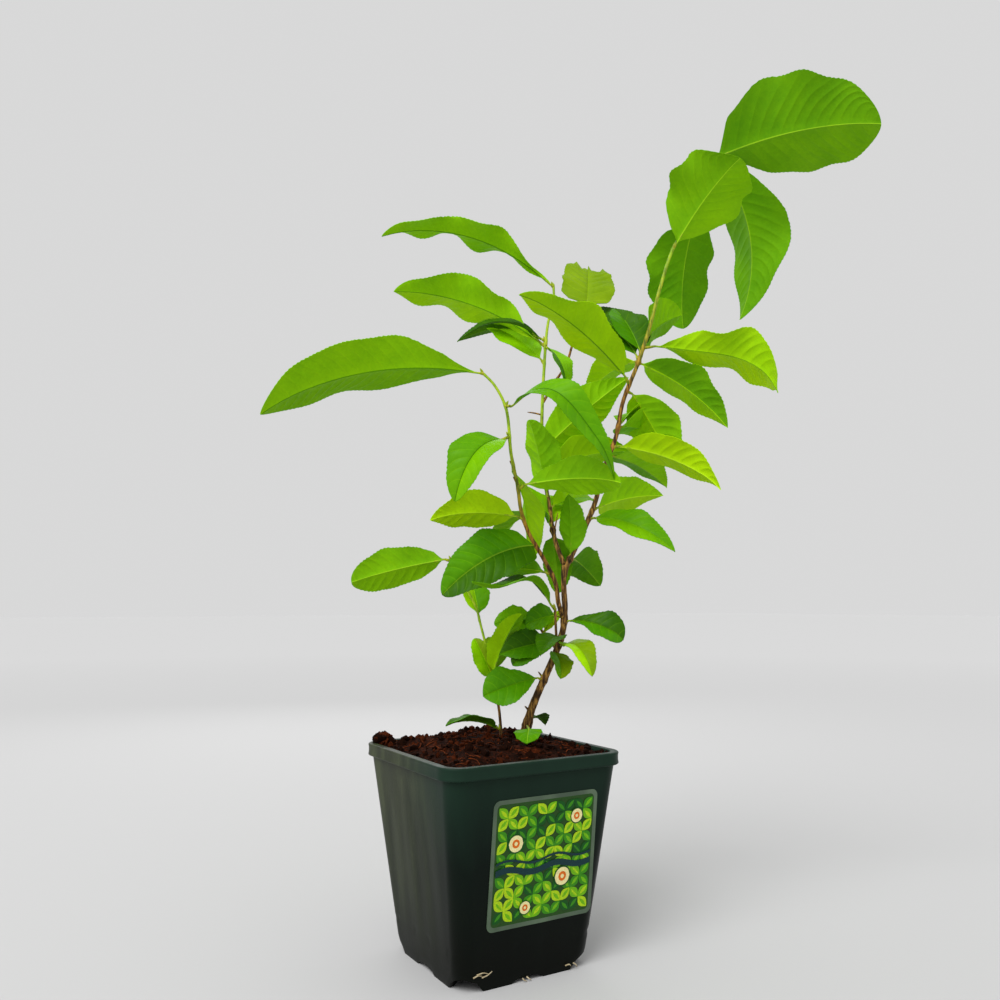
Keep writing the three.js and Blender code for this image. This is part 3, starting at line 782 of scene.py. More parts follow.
# %% [markdown]
# The label
#
# The label is a clear film stuck to one face of the pot, with round corners and a glossy
# surface. It has to follow the wall's slow waves, so it could be shrink-wrapped on. Here
# every flat thing on it is a plate: a grid of places on the wall, drawn once below and
# once above, and closed round its rim.

# %% Plates on the wall
LABEL_WIDTH = 52.6
LABEL_HEIGHT = 53.6
LABEL_CORNER = 3.0
LABEL_ACROSS = 4.0
LABEL_MIDDLE = 50.3
FILM_GAP = 0.12
FILM_THICK = 0.22
INK_THICK = 0.03
PLATE_ROWS = 27


def on_wall(across, up, lift):
    """A point on the front wall: across and up from the label's middle, lifted off the wall."""
    x = LABEL_ACROSS + across
    z = LABEL_MIDDLE + up
    y = -(pot_half(z) + wall_wave(x, z) + FILM_GAP + lift)
    return np.stack(np.broadcast_arrays(x, y, z), axis=-1)


def plate(across, up, low, high):
    """A closed thin plate on the wall: a grid of places, drawn once below and once above."""
    top = on_wall(across, up, high).reshape(-1, 3)
    bottom = on_wall(across, up, low).reshape(-1, 3)
    return np.concatenate([top, bottom]), shell_faces(*across.shape)[0]


def rounded_plate(width, height, corner, low, high):
    """A plate with round corners: columns whose height drops by the corner's arc at the ends."""
    ends = corner * (1 - np.cos(np.linspace(0, np.pi / 2, 7)))
    middle = np.linspace(corner, width - corner, 25)
    across = np.concatenate([ends[:-1], middle, (width - ends[:-1])[::-1]]) - width / 2
    inset = np.clip(corner - (width / 2 - np.abs(across)), 0, corner)
    drop = corner - np.sqrt(np.maximum(0, corner ** 2 - inset ** 2))
    half = (height / 2 - drop) * 0.9999
    share = np.linspace(-1, 1, PLATE_ROWS)[:, None]
    return plate(np.tile(across, (PLATE_ROWS, 1)), share * half, low, high)


def ink_lens(first, last, width, layer):
    """A pointed lens between two places: its half width is the sine of its share."""
    along = np.asarray(last, float) - np.asarray(first, float)
    length = float(np.hypot(*along))
    way = along / length
    share = np.linspace(0.02, 0.98, 11)
    half = width / 2 * np.sin(np.pi * share)
    off = np.linspace(-1, 1, 5)[:, None] * half
    across = first[0] + share * along[0] - off * way[1]
    up = first[1] + share * along[1] + off * way[0]
    return plate(across, up, layer, layer + INK_THICK)


def ink_dot(middle, radius, layer):
    """A round dot, as a grid from its left to its right edge."""
    share = np.linspace(-0.998, 0.998, 13)
    half = radius * np.sqrt(1 - share ** 2)
    side = np.linspace(-1, 1, 5)[:, None]
    across = np.tile(middle[0] + radius * share, (5, 1))
    return plate(across, middle[1] + side * half, layer, layer + INK_THICK)


label_batch = Batch()
film_shape = rounded_plate(LABEL_WIDTH, LABEL_HEIGHT, LABEL_CORNER, 0, FILM_THICK)
label_batch.add(*film_shape, 0)
print("film points:", label_batch.count)

# %% [markdown]
# Film and inks
#
# Print is flat colour under a gloss: each ink has one tint with a faint unevenness, as
# print on film has, and a thin coat. An image could hold them all, but one finish for
# each ink stays sharp at any size and keeps the colours easy to change.

# %% Film and inks
def ink(name, red, green, blue):
    """A flat print colour under a glossy film, a little uneven as print is."""
    made = Finish(name, Roughness=0.3, Specular_IOR_Level=0.15, Coat_Weight=0.08, Coat_Roughness=0.1)
    speck = made.noise(0.5, 2.0)
    dark = paint(red * 0.88, green * 0.88, blue * 0.88)
    made.colour(made.ramp(speck, [(0.35, dark), (0.65, paint(red, green, blue))]))
    return made


film = Finish("label_film", Roughness=0.2, Specular_IOR_Level=0.3, Coat_Weight=0.2, Coat_Roughness=0.06)
film_cloud = film.noise(16.0, 3.0)
film.colour(film.ramp(film_cloud, [(0.35, paint(62, 80, 62)), (0.65, paint(86, 106, 82))]))
film.bump(film.noise(6.0, 2.0), 0.25, 0.3)
INKS = [
    film,
    ink("ink_ground", 38, 76, 24),
    ink("ink_yellow_green", 178, 216, 20),
    ink("ink_fresh_green", 112, 184, 8),
    ink("ink_leaf_green", 58, 140, 16),
    ink("ink_dark_green", 16, 84, 22),
    ink("ink_teal", 16, 54, 58),
    ink("ink_cream", 246, 236, 170),
    ink("ink_orange", 226, 112, 20),
]
GROUND, TEAL, CREAM, ORANGE = 1, 6, 7, 8
GREENS = (2, 3, 4, 5)
print("inks:", len(INKS) - 1)

# %% [markdown]
# The label's design
#
# The design is a lattice of pointed green lenses, each with a smaller one inside it, and
# over it ringed discs and wavy teal stripes. The lattice stands on its corner, so its
# places are sums and differences of two counts. Every motif is a plate of its own, a
# hair's breadth above the one before, so that no two of them lie at the same height.

# %% Label design
PRINT_MARGIN = 1.8
LENS_MARGIN = 0.6
LATTICE_COUNT = 17
LATTICE_MIDDLE = 8
LATTICE_STEP = 6.7
LENS_WIDTH = 4.2
INNER_LENS = 0.34
LAYER_STEP = 0.0012
MOTIF_STEP = 0.012
ROUNDELS = ((-14.6, 8.2, 4.0), (9.8, -8.6, 4.4), (15.6, 16.4, 3.4), (-8.4, -19.0, 3.0))
ROUNDEL_RINGS = ((1.0, GREENS[3]), (0.86, CREAM), (0.46, ORANGE), (0.2, CREAM))
STRIPES = ((-3.2, 1.3), (0.6, 0.5))
STRIPE_WAVE = 1.1
print_width = LABEL_WIDTH - 2 * PRINT_MARGIN
print_height = LABEL_HEIGHT - 2 * PRINT_MARGIN
print_low, print_high = FILM_THICK - 0.02, FILM_THICK + 0.01
ground_shape = rounded_plate(print_width, print_height, LABEL_CORNER - 1, print_low, print_high)
label_batch.add(*ground_shape, GROUND)
print_draws = np.random.default_rng(3)
layer = FILM_THICK
print_reach = np.array([print_width, print_height]) / 2 - LENS_MARGIN
for row, column in np.ndindex(LATTICE_COUNT, LATTICE_COUNT):
    row, column = row - LATTICE_MIDDLE, column - LATTICE_MIDDLE
    first = LATTICE_STEP * np.array([row + column, row - column]) / np.sqrt(2)
    for way in ((1, 1), (1, -1)):
        end = first + LATTICE_STEP * np.array(way) / np.sqrt(2)
        if (np.abs(first) > print_reach).any() or (np.abs(end) > print_reach).any():
            continue
        number = int(print_draws.integers(len(GREENS)))
        layer += LAYER_STEP
        label_batch.add(*ink_lens(first, end, LENS_WIDTH, layer), GREENS[number])
        inner_first, inner_end = first * 0.8 + end * 0.2, first * 0.1 + end * 0.9
        inner_ink = GREENS[number - 1] if number else GREENS[1]
        layer += LAYER_STEP
        inner_lens = ink_lens(inner_first, inner_end, INNER_LENS * LENS_WIDTH, layer)
        label_batch.add(*inner_lens, inner_ink)
for across, up, radius in ROUNDELS:
    for share, number in ROUNDEL_RINGS:
        layer += MOTIF_STEP
        label_batch.add(*ink_dot((across, up), radius * share, layer), number)
wavy = np.tile(np.linspace(-print_reach[0], print_reach[0], 27), (5, 1))
for middle, half in STRIPES:
    rise = middle + np.linspace(-half, half, 5)[:, None] + STRIPE_WAVE * np.sin(0.26 * wavy)
    layer += MOTIF_STEP
    label_batch.add(*plate(wavy, rise, layer, layer + INK_THICK), TEAL)
label_batch.piece("label_film_and_print", INKS, "label", "label")

# %% [markdown]
# Limbs
#
# The trunk and its boughs are woody bars that thin out evenly and lean where the light
# pulled them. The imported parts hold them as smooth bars, and the same paths are written
# here again, because every twig and leaf is counted along them. A path is a few places,
# given across the plant, away from the camera and up, and joined by the same smooth
# curve as in the part, so that the new skin lies where the solid is.

# %% Limb paths
FAN_TURN = np.radians(-30.8)
ACROSS = np.array([np.cos(FAN_TURN), np.sin(FAN_TURN), 0.0])
AWAY = np.array([-np.sin(FAN_TURN), np.cos(FAN_TURN), 0.0])
UP = np.array([0.0, 0.0, 1.0])
FLARE_REACH = 5.0
CURVE_STEPS = 60

TRUNK = {
    "path": [(14.5, 8, 93), (17, 6, 99.5), (19.7, 5, 108.7), (23.5, 4, 118), (27.7, 3, 127.4),
             (31.4, 2, 136), (34.3, 1, 145.3), (35.2, 0, 155), (34.8, 0, 166), (34.9, 0, 176)],
    "radii": (2.0, 1.15), "flare": 0.8, "green": (300, 320),
}
RIGHT = {
    "path": [(35.0, 0, 169), (36.0, 0, 174.5), (38.8, 0.4, 180.5), (41.8, 1, 186.5), (45.2, 1, 193.6),
             (50.2, 2, 205.6), (54.8, 3, 222), (60.9, 3, 238), (64.7, 4, 255.4), (72.5, 5, 275),
             (78, 6, 291), (85, 7, 315.5), (92, 8, 335.5), (101.7, 9, 351.5), (115.5, 10, 386)],
    "radii": (1.25, 0.6), "flare": 0.0, "green": (190, 330),
}
MIDDLE = {
    "path": [(34.9, 0, 176), (31, 3, 188), (28.3, 8, 206.5), (25.7, 12, 227.5), (25.4, 13, 243.5),
             (26.7, 14, 273.5), (28.8, 15, 297.5), (32, 16, 312), (31.8, 16, 320)],
    "radii": (1.1, 0.6), "flare": 0.0, "green": (205, 252),
}
MIDDLE_TWIG = {
    "path": [(26, 13.5, 257), (32, 16, 268), (38, 18, 277.5), (42, 22, 290), (50, 26, 312)],
    "radii": (0.7, 0.55), "flare": 0.0, "green": (240, 330),
}
LEFT = {
    "path": [(34.6, 0, 150), (32, -3.4, 158), (30.6, -5, 167), (25.2, -7, 178), (18.1, -10, 190),
             (14.4, -13, 200.5), (12.9, -15, 211), (9.8, -17, 226), (7.4, -20, 247),
             (2.2, -21, 257.5), (-3.5, -21.5, 263.5)],
    "radii": (1.1, 0.6), "flare": 0.0, "green": (150, 234),
}
THIN = {
    "path": [(31.8, 1.8, 137.5), (31, -1.6, 143), (30.4, -3, 156)],
    "radii": (0.7, 0.55), "flare": 0.0, "green": (150, 190),
}
BASAL = {
    "path": [(5.5, 10, 93), (4, 10, 109), (1, 9, 123), (-2.4, 8, 139), (-5, 8, 149),
             (-6.5, 7, 155), (-12, 6, 166), (-19, 6, 179)],
    "radii": (0.7, 0.5), "flare": 0.0, "green": (100, 130),
}
SPRIG = {
    "path": [(31.5, 2, 136.5), (28, 6, 140), (24, 11, 146), (21, 15, 152)],
    "radii": (0.75, 0.55), "flare": 0.0, "green": (140, 170),
}
LIMBS = [TRUNK, RIGHT, MIDDLE, MIDDLE_TWIG, LEFT, THIN, BASAL, SPRIG]
print("limbs:", len(LIMBS))

# %% [markdown]
# Curves through the places
#
# A bough bends evenly from place to place. A Blender curve with automatic handles would
# do that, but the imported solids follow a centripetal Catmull-Rom curve, so the same one
# is worked out here, once, as a fine list of places with the length walked to each.

# %% Limb curves
def limb_line(path):
    """A centripetal Catmull-Rom curve: slopes are weighted by the roots of the distances.

    Each end gets a helper place, mirrored over the end. Between two places the curve is
    the cubic that starts and ends with the weighted slopes."""
    path = np.asarray(path, float)
    full = np.concatenate([[2 * path[0] - path[1]], path, [2 * path[-1] - path[-2]]])
    gap = np.linalg.norm(np.diff(full, axis=0), axis=1, keepdims=True) ** 0.5
    share = np.linspace(0, 1, CURVE_STEPS, endpoint=False)[:, None]
    pieces = []
    for k in range(1, len(full) - 2):
        before, first, last, after = full[k - 1:k + 3]
        d0, d1, d2 = gap[k - 1], gap[k], gap[k + 1]
        out = ((first - before) / d0 - (last - before) / (d0 + d1) + (last - first) / d1) * d1
        back = ((last - first) / d1 - (after - first) / (d1 + d2) + (after - last) / d2) * d1
        bend = 3 * (last - first) - 2 * out - back
        close = 2 * (first - last) + out + back
        pieces.append(first + share * (out + share * (bend + share * close)))
    return np.concatenate(pieces + [full[-2:-1]])


def to_frame(points):
    """Turns places across, away and up into the pot's own frame."""
    return np.asarray(points) @ np.array([ACROSS, AWAY, UP])


for limb in LIMBS:
    limb["line"] = limb_line(limb["path"])
    steps = np.linalg.norm(np.diff(limb["line"], axis=0), axis=1)
    limb["walked"] = np.concatenate([[0], np.cumsum(steps)])
    limb["length"] = limb["walked"][-1]


def walk_at_height(limb, height):
    """The length walked along a limb's line up to where it reaches a height."""
    climbed = np.maximum.accumulate(limb["line"][:, 2])
    return np.interp(height, climbed + 1e-6 * np.arange(len(climbed)), limb["walked"])


def at_walk(limb, walked):
    """Places on a limb's line at the given walked lengths."""
    return np.stack([np.interp(walked, limb["walked"], limb["line"][:, k]) for k in range(3)], axis=-1)


def limb_radius(limb, walked):
    """The radius shrinks evenly from foot to tip, with a flare that fades above the foot."""
    foot, tip = limb["radii"]
    share = walked / limb["length"]
    return foot + (tip - foot) * share + limb["flare"] * np.exp(-walked / FLARE_REACH)


print("limb lengths in mm:", [round(float(limb["length"])) for limb in LIMBS])

# %% [markdown]
# Leaf rows
#
# Each leaf is one row: its height on the limb, the way it points, how it rises, its
# length and width, its roll, its arch, its stalk, its outline and its tints. Heading 0 is
# to the right, 90 is away from the camera, 180 to the left. Two tints are for the blade's
# two halves, where one half lies in another light or is greener. A habit at a row's end
# gives what only that blade does: waves, a sway, a curled tip or a torn end.
#
# They are the part's own rows, some of them turned or bent a little further, as far as a
# thin blade can go and a plain solid can't.

# %% Leaves of the masses
OVAL = (0.85, 0.8)
FULL = (1.15, 0.65)
ROUND = (0.85, 0.5)
CROPPED = (0.6, 0.36)
LEAVES = {
    "top": [
        (335, 304, 33, 50, 40, -28, 0.13, 3, FULL, "bright mid pale", {"ripple": 0.07, "wave": 0.08}),
        (353, 92, -58, 55, 37, -13, 0.11, 4, ROUND, "green green pale", {"ripple": 0.05, "quilt": 0.6}),
        (385, 56, -71, 80, 41, 26, 0.19, 4, OVAL, "green green pale", {"quilt": 0.6}),
        (384, 335, 0, 77, 53, -39, 0.14, 1.5, (1.25, 0.6), "mid green pale",
         {"second": ROUND, "ripple": 0.05, "quilt": 0.6}),
    ],
    "right": [
        (198, 329, -23, 43, 18, 37, 0.12, 3, OVAL, "green mid thin", {"fold": 0.2}),
        (201.5, 30, 12, 41, 22, -56, 0.08, 4, OVAL, "lime bright pale"),
        (228, 48, -12, 49, 20, -10, 0.06, 4, OVAL, "green bright pale"),
        (233, 341, -25, 52, 22, -39, 0.1, 4, OVAL, "yellow yellow pale", {"quilt": 1.3, "curl": 0.8}),
        (242, 52, 0, 40, 22, -30, 0.08, 4, OVAL, "bright bright thin"),
        (261, 42, -46, 44, 26, -30, 0.08, 4, FULL, "yellow bright thin", {"quilt": 1.5, "ripple": 0.02}),
        (264, 223, 19, 76, 25, 11, 0.08, 5, OVAL, "lime yellow dark", {"wave": 0.09, "ripple": 0.05}),
        (275, 13, -33, 54, 24, -28, 0.1, 2, OVAL, "lime green thin", {"ripple": 0.05}),
        (283, 344, -23, 63, 28, -37, 0.16, 6, (1.5, 0.6), "yellow lime dark",
         {"sway": -0.035, "wave": 0.1, "tail": 0.05, "curl": 1.6, "quilt": 1.3, "ripple": 0.06}),
        (276, 119, 40, 54, 23, -27, 0.08, 5, OVAL, "dark deep thin"),
        (288, 48, 30, 36, 25, -62, 0.06, 3, ROUND, "mid bright thin"),
    ],
    "middleTop": [
        (286, 294, -52, 31, 12, -14, 0.1, 3, OVAL, "mid dark thin"),
        (277, 137, 34, 46, 18, -38, 0.08, 4, OVAL, "bright bright thin"),
        (289, 147, 8, 52, 14, 20, 0.14, 4, OVAL, "deep deep thin"),
        (286, 186, 18, 76, 26, 30, 0.12, 5, FULL, "bright lime dark",
         {"wave": 0.13, "waves": 2.6, "ripple": 0.1, "foot": 0.3}),
        (318, 198, 10, 88, 23, 9, 0.15, 2, FULL, "bright bright dark",
         {"wave": 0.14, "waves": 3.1, "ripple": 0.12, "pinch": (0.67, 0.4), "foot": 0.35}),
    ],
    "middleTwig": [
        (311, 82, 53, 34, 28, 12, 0.04, 2, CROPPED, "olive olive thin",
         {"torn": 0.06, "slant": -0.09, "cut": 0.72, "foot": 0.04, "fold": 0.04}),
    ],
    "middleLow": [
        (193, 100, 38, 28, 16, 10, 0.06, 4, OVAL, "bright lime thin"),
        (203, 51, 9, 38, 16, 32, 0.08, 4, OVAL, "lime mid thin"),
        (208, 230, 69, 36, 21, -4, 0.04, 4, ROUND, "mid bright thin"),
        (232, 8, 41, 57, 24, -70, 0.06, 2.5, OVAL, "lime bright pale", {"fold": 0.15, "quilt": 1.4}),
    ],
    "leftTop": [
        (248, 332, -33, 60, 16.5, 42, 0.3, 4, OVAL, "green green dark",
         {"sway": 0.064, "curl": 3.0, "veer": -0.03}),
        (263, 196, -14, 100, 33, 33, 0.13, 2, FULL, "bright mid dark",
         {"quilt": 1.5, "ripple": 0.05, "foot": 0.15, "wave": 0.05}),
    ],
    "leftLow": [
        (184.5, 209, -26, 52, 25, -58, 0.11, 1, ROUND, "deep dark pale",
         {"quilt": 1.8, "fold": 0.2, "veer": 0.05}),
        (196.5, 199, -4, 41, 20, 56, 0.13, 4, OVAL, "yellow yellow pale", {"quilt": 2.6}),
        (210, 327, -3, 48, 19, -60, 0.12, 5, FULL, "bright mid pale", {"quilt": 1.8}),
        (234, 215, -50, 39, 21, -34, 0.26, 5, ROUND, "mid green dark"),
    ],
    "thin": [
        (155, 231.5, 9.5, 57.5, 9.5, -3, 0.096, 4, OVAL, "green deep thin", {"curl": 0.0, "sway": 0.067}),
    ],
    "basal": [
        (98, 211, 6, 27, 13, 5, 0.1, 3, OVAL, "dark deep thin"),
        (123, 307, 52, 35, 13, -11, 0.08, 3, ROUND, "mid lime thin"),
        (121, 119, 49, 22, 12, 22, 0.06, 3, OVAL, "mid mid thin"),
        (128, 62, 34, 20, 14, 6, 0.08, 3, ROUND, "olive yellow thin"),
        (150, 109, 51, 24, 14, 2, 0.06, 3, OVAL, "lime green thin"),
        (178, 201, -14, 46, 20, 73, 0.06, 4, (1.15, 0.5), "mid bright pale", {"quilt": 2.0}),
    ],
    "sprig": [
        (142, 140, -10, 16, 14, 30, 0.08, 3, ROUND, "dark dark thin"),
        (151, 195, -6, 15, 11, -40, 0.08, 3, OVAL, "green mid thin"),
    ],
}
print("leaves of the masses:", sum(len(rows) for rows in LEAVES.values()))

# %% Single leaves
HEART = (0.55, 0.5)
SPOON = (2.4, 0.42)
SINGLE_LEAVES = {
    "leaf_trunk_foot": (TRUNK, (100.6, 263, -27, 11, 13, 3, 0.05, 14, HEART, "dark dark pale",
                                {"fold": 0.03})),
    "leaf_trunk_back": (TRUNK, (103, 70, -15, 22, 10, -2, 0.08, 4, OVAL, "deep deep thin")),
    "leaf_trunk_low": (TRUNK, (122, 203, -15, 28, 18.5, -60, 0.07, 4, (1.7, 0.6), "dark dark thin")),
    "leaf_trunk_front": (TRUNK, (141, 247, -15, 26, 13, -7, 0.1, 4, OVAL, "deep deep thin")),
    "leaf_trunk_middle": (TRUNK, (138, 297, -24, 27, 13, 8, 0.2, 4, ROUND, "olive lime thin",
                                  {"curl": 1.6})),
    "leaf_trunk_left": (TRUNK, (151, 160, -18, 15, 14, -60, 0.08, 5, ROUND, "green dark thin")),
    "leaf_trunk_high": (TRUNK, (149, 335, -16, 27, 16, 44, 0.13, 3, SPOON, "deep dark thin",
                                {"curl": 1.4})),
    "leaf_left_bough": (LEFT, (171, 165, -2, 34, 16, -42, 0.08, 4, OVAL, "mid green pale")),
    "leaf_fork_right": (RIGHT, (178.5, 58, -22, 30, 19, -37, 0.12, 3, ROUND, "dark dark pale",
                                {"curl": 1.0})),
    "leaf_fork_front": (RIGHT, (178.5, 262, 68, 29, 14, -20, 0.06, 3, OVAL, "green green thin")),
}
print("single leaves:", len(SINGLE_LEAVES))

# %% [markdown]
# Which lengths of limb are masses and which are wood
#
# The part cuts each limb into lengths: the leafy ones are masses of foliage, the bare
# ones are wood. The lengths are given as heights from where to where, with the node's
# name, so that each piece of this script stands for its own node.

# %% Lengths of limb
MASSES = [
    ("foliage_right_top", RIGHT, 330.3, 386, "top"),
    ("foliage_right", RIGHT, 195.3, 292, "right"),
    ("foliage_middle_top", MIDDLE, 252.3, 320, "middleTop"),
    ("foliage_middle_twig", MIDDLE_TWIG, 257, 312, "middleTwig"),
    ("foliage_middle_low", MIDDLE, 190.3, 236, "middleLow"),
    ("foliage_left_top", LEFT, 245.3, 263.5, "leftTop"),
    ("foliage_left_low", LEFT, 177.3, 236, "leftLow"),
    ("foliage_thin_shoot", THIN, 137.5, 156, "thin"),
    ("foliage_basal_shoot", BASAL, 93, 179, "basal"),
    ("foliage_sprig", SPRIG, 136.5, 152, "sprig"),
]
WOOD = [
    ("trunk", TRUNK, 93, 176),
    ("bough_right_lower", RIGHT, 171, 195),
    ("bough_right_upper", RIGHT, 292.3, 330),
    ("bough_middle_lower", MIDDLE, 177, 190),
    ("bough_middle_upper", MIDDLE, 236.3, 252),
    ("bough_left_lower", LEFT, 152, 177),
    ("bough_left_upper", LEFT, 236.3, 245),
]
print("masses:", len(MASSES), "lengths of wood:", len(WOOD))

# %% [markdown]
# Filling leaves
#
# In the middle of the crown and in the cluster by the trunk the leaves lie so close that
# no sky shows between them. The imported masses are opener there. A few more leaves on the
# same limbs close those places, most of them small and in the shade of the others.

# %% Filling leaves
FILLING_LEAVES = {
    "basal": [
        (121, 180, 65, 20, 11, -75, 0.08, 2, ROUND, "bright olive thin"),
    ],
    "sprig": [
        (139, 196, -12, 24, 15, -60, 0.08, 2, OVAL, "dark deep thin"),
        (149, 190, -5, 19, 13, -55, 0.08, 2, ROUND, "green mid thin"),
        (141, 214, -34, 20, 13, -46, 0.08, 3, ROUND, "dark deep thin"),
        (143, 15, 50, 13, 6, 60, 0.25, 1.5, OVAL, "yellow yellow dark", {"sway": 0.1}),
        (137, 283, -46, 15, 12, -20, 0.12, 3, ROUND, "olive green thin", {"curl": 1.0}),
    ],
    "right": [
        (279, 112, 50, 38, 21, -8, 0.06, 3, OVAL, "dark deep thin"),
    ],
    "middleTop": [
        (289, 200, -6, 43, 7, -30, 0.2, 3, OVAL, "deep deep dark"),
    ],
    "middleLow": [
        (222, 20, 14, 46, 22, -45, 0.08, 4, OVAL, "lime lime thin"),
        (193, 205, 48, 22, 15, -40, 0.08, 4, OVAL, "mid bright thin"),
        (192, 70, -74, 28, 15, 0, 0.06, 3, ROUND, "mid green thin"),
    ],
}
print("filling leaves:", sum(len(rows) for rows in FILLING_LEAVES.values()))

# %% [markdown]
# Leaves at the back
#
# The rows above are the leaves on the camera's side. The far side is filled by the
# part's seeded rule: a few leaves evenly up each stem, with heading, rise, length and
# roll drawn from one run of seeded numbers, so the same leaves come out every time. Two
# of them would touch the middle boughs' leaves and are left out, as in the part, and one
# is turned, because it would stand edge-on before the sky. The filling leaves come last.

# %% Seeded back leaves
SEED = 43
BACK_COUNT = {"right": 3, "middleLow": 2, "leftLow": 2}
BACK_SKIPPED = {("foliage_right", 0), ("foliage_left_low", 0)}
BACK_TURNED = {("foliage_left_low", 1): (-22, -58, 48)}
BACK_HEADING = 90
BACK_SPREAD = 40
BACK_RISE = (-20, 25)
BACK_LENGTH = (38, 54)
BACK_WIDTH_RATIO = 0.44
BACK_ROLL = 20
BACK_ARCH = 0.1
BACK_STALK = 4
BACK_TINTS = ("mid bright thin", "bright lime thin", "yellow lime pale")
WORD = 0xFFFFFFFF


def seeded_numbers(seed):
    """Numbers from 0 to 1 by mulberry32: a counter, mixed by shifts and products of 32 bits."""
    state = seed
    while True:
        state = (state + 0x6D2B79F5) & WORD
        mixed = ((state ^ (state >> 15)) * (1 | state)) & WORD
        mixed = ((mixed + (((mixed ^ (mixed >> 7)) * (61 | mixed)) & WORD)) & WORD) ^ mixed
        yield ((mixed ^ (mixed >> 14)) & WORD) / 2 ** 32


def back_leaves(name, lowest, highest, count, numbers):
    """Rows for the back leaves of one mass, drawn in the part's own order."""
    rows = []
    for i in range(count):
        height = lowest + (highest - lowest) * (i + 0.5) / count
        heading = BACK_HEADING - BACK_SPREAD + 2 * BACK_SPREAD * next(numbers)
        rise = BACK_RISE[0] + (BACK_RISE[1] - BACK_RISE[0]) * next(numbers)
        length = BACK_LENGTH[0] + (BACK_LENGTH[1] - BACK_LENGTH[0]) * next(numbers)
        roll = BACK_ROLL * (2 * next(numbers) - 1)
        if (name, i) not in BACK_SKIPPED:
            turn, dip, tip = BACK_TURNED.get((name, i), (0, 0, 0))
            shape = (height, heading + turn, rise + dip, length, BACK_WIDTH_RATIO * length, roll + tip)
            rows.append((*shape, BACK_ARCH, BACK_STALK, OVAL, BACK_TINTS[i % len(BACK_TINTS)]))
    return rows


numbers = seeded_numbers(SEED)
for name, limb, lowest, highest, group in MASSES:
    LEAVES[group] += back_leaves(name, lowest, highest, BACK_COUNT.get(group, 0), numbers)
for group, rows in FILLING_LEAVES.items():
    LEAVES[group] += rows
print("leaves in all:", sum(len(rows) for rows in LEAVES.values()) + len(SINGLE_LEAVES))

# %% [markdown]
# Leaf finishes
#
# A tea leaf is leathery, with a waxy upper face, a duller and paler underside and a pale
# midrib, painted dark on some leaves as painted shade along its groove. A young plant has
# many greens, from lime on new leaves to deep green on shaded ones, and the tints are also
# set after the light each leaf lies in, so the dark and deep tints are partly painted
# shade and the lime and yellow tints partly painted light. The tint belongs to a leaf, so
# each is a finish of its own, with only a faint mottle in it, and the veins are cut into
# the mesh.

# %% Leaf palette
# Tints from lime to deep: partly each leaf's own green. The dark and deep ones are partly painted shade,
# and the lime and yellow ones partly painted light.
TINTS = {
    "lime": (160, 216, 0),
    "bright": (134, 200, 0),
    "mid": (110, 174, 0),
    "green": (88, 154, 0),
    "dark": (66, 130, 0),
    "deep": (42, 88, 0),
    "olive": (116, 148, 2),
    "yellow": (180, 226, 0),
}
UNDER_MIX = 0.14
UNDER_COLOUR = (150, 192, 50)
# The dark rib is painted shade along the midrib's groove. The pale and thin ribs are the rib's own paler
# colour.
RIBS = {"pale": ((190, 226, 60), 0.5), "thin": ((170, 214, 30), 0.22), "dark": ((26, 76, 0), 0.5)}
VEIN_COLOUR = (180, 220, 30)
VEIN_MIX = 0.15
LEAF_SHINE = 0.07
MOTTLE_DARK = ((30, 80, 0), 0.13)
MOTTLE_LIGHT = ((196, 232, 0), 0.12)


def blend(first, second, share):
    """A display colour part of the way from one to another."""
    return tuple(a + (b - a) * share for a, b in zip(first, second))


def leaf_finish(name, colour, roughness, coat):
    """A waxy green: a mottle of two near tints, a gentle coat and a fine leathery bump."""
    made = Finish(name, Roughness=roughness, Coat_Weight=coat, Coat_Roughness=0.25)
    made.shader.inputs["Specular IOR Level"].default_value = LEAF_SHINE
    mottle = made.noise(15.0, 3.0) * 0.7 + made.noise(1.6, 3.0) * 0.3
    dark, light = blend(colour, *MOTTLE_DARK), blend(colour, *MOTTLE_LIGHT)
    made.colour(made.ramp(mottle, [(0.32, paint(*dark)), (0.68, paint(*light))]))
    made.bump(made.noise(0.55, 2.0), 0.15, 0.12)
    return made


leaf_finishes = []
finish_number = {}
for tint, colour in TINTS.items():
    finish_number[tint] = len(leaf_finishes)
    leaf_finishes.append(leaf_finish(f"leaf_{tint}_upper", colour, 0.5, 0.02))
    vein = blend(colour, VEIN_COLOUR, VEIN_MIX)
    leaf_finishes.append(leaf_finish(f"leaf_{tint}_vein", vein, 0.6, 0.0))
    under = blend(colour, UNDER_COLOUR, UNDER_MIX)
    leaf_finishes.append(leaf_finish(f"leaf_{tint}_under", under, 0.7, 0.0))
    for rib, (target, share) in RIBS.items():
        finish_number[f"{tint} {rib}"] = len(leaf_finishes)
        rib_colour = blend(colour, target, share)
        leaf_finishes.append(leaf_finish(f"leaf_{tint}_rib_{rib}", rib_colour, 0.6, 0.0))
print("leaf finishes:", len(leaf_finishes))

# %% [markdown]
# One leaf
#
# A leaf could be a flat card with a picture of veins, but in the light its quilted face
# is what looks real. The blade here is a grid whose rows sweep forwards as the side
# veins do. Between two veins the blade swells up, the midrib is a groove above and a
# ridge below, the edge has small teeth, and the whole is folded, arched and rolled by
# the part's own formulas. It is a thin closed shell with an upper and an under skin.

# %% Leaf axes and rows
HALF_COLUMNS = 8
ROW_GAP = 0.62
VEIN_GAP = 6.2
VEIN_WIDTH = 0.34


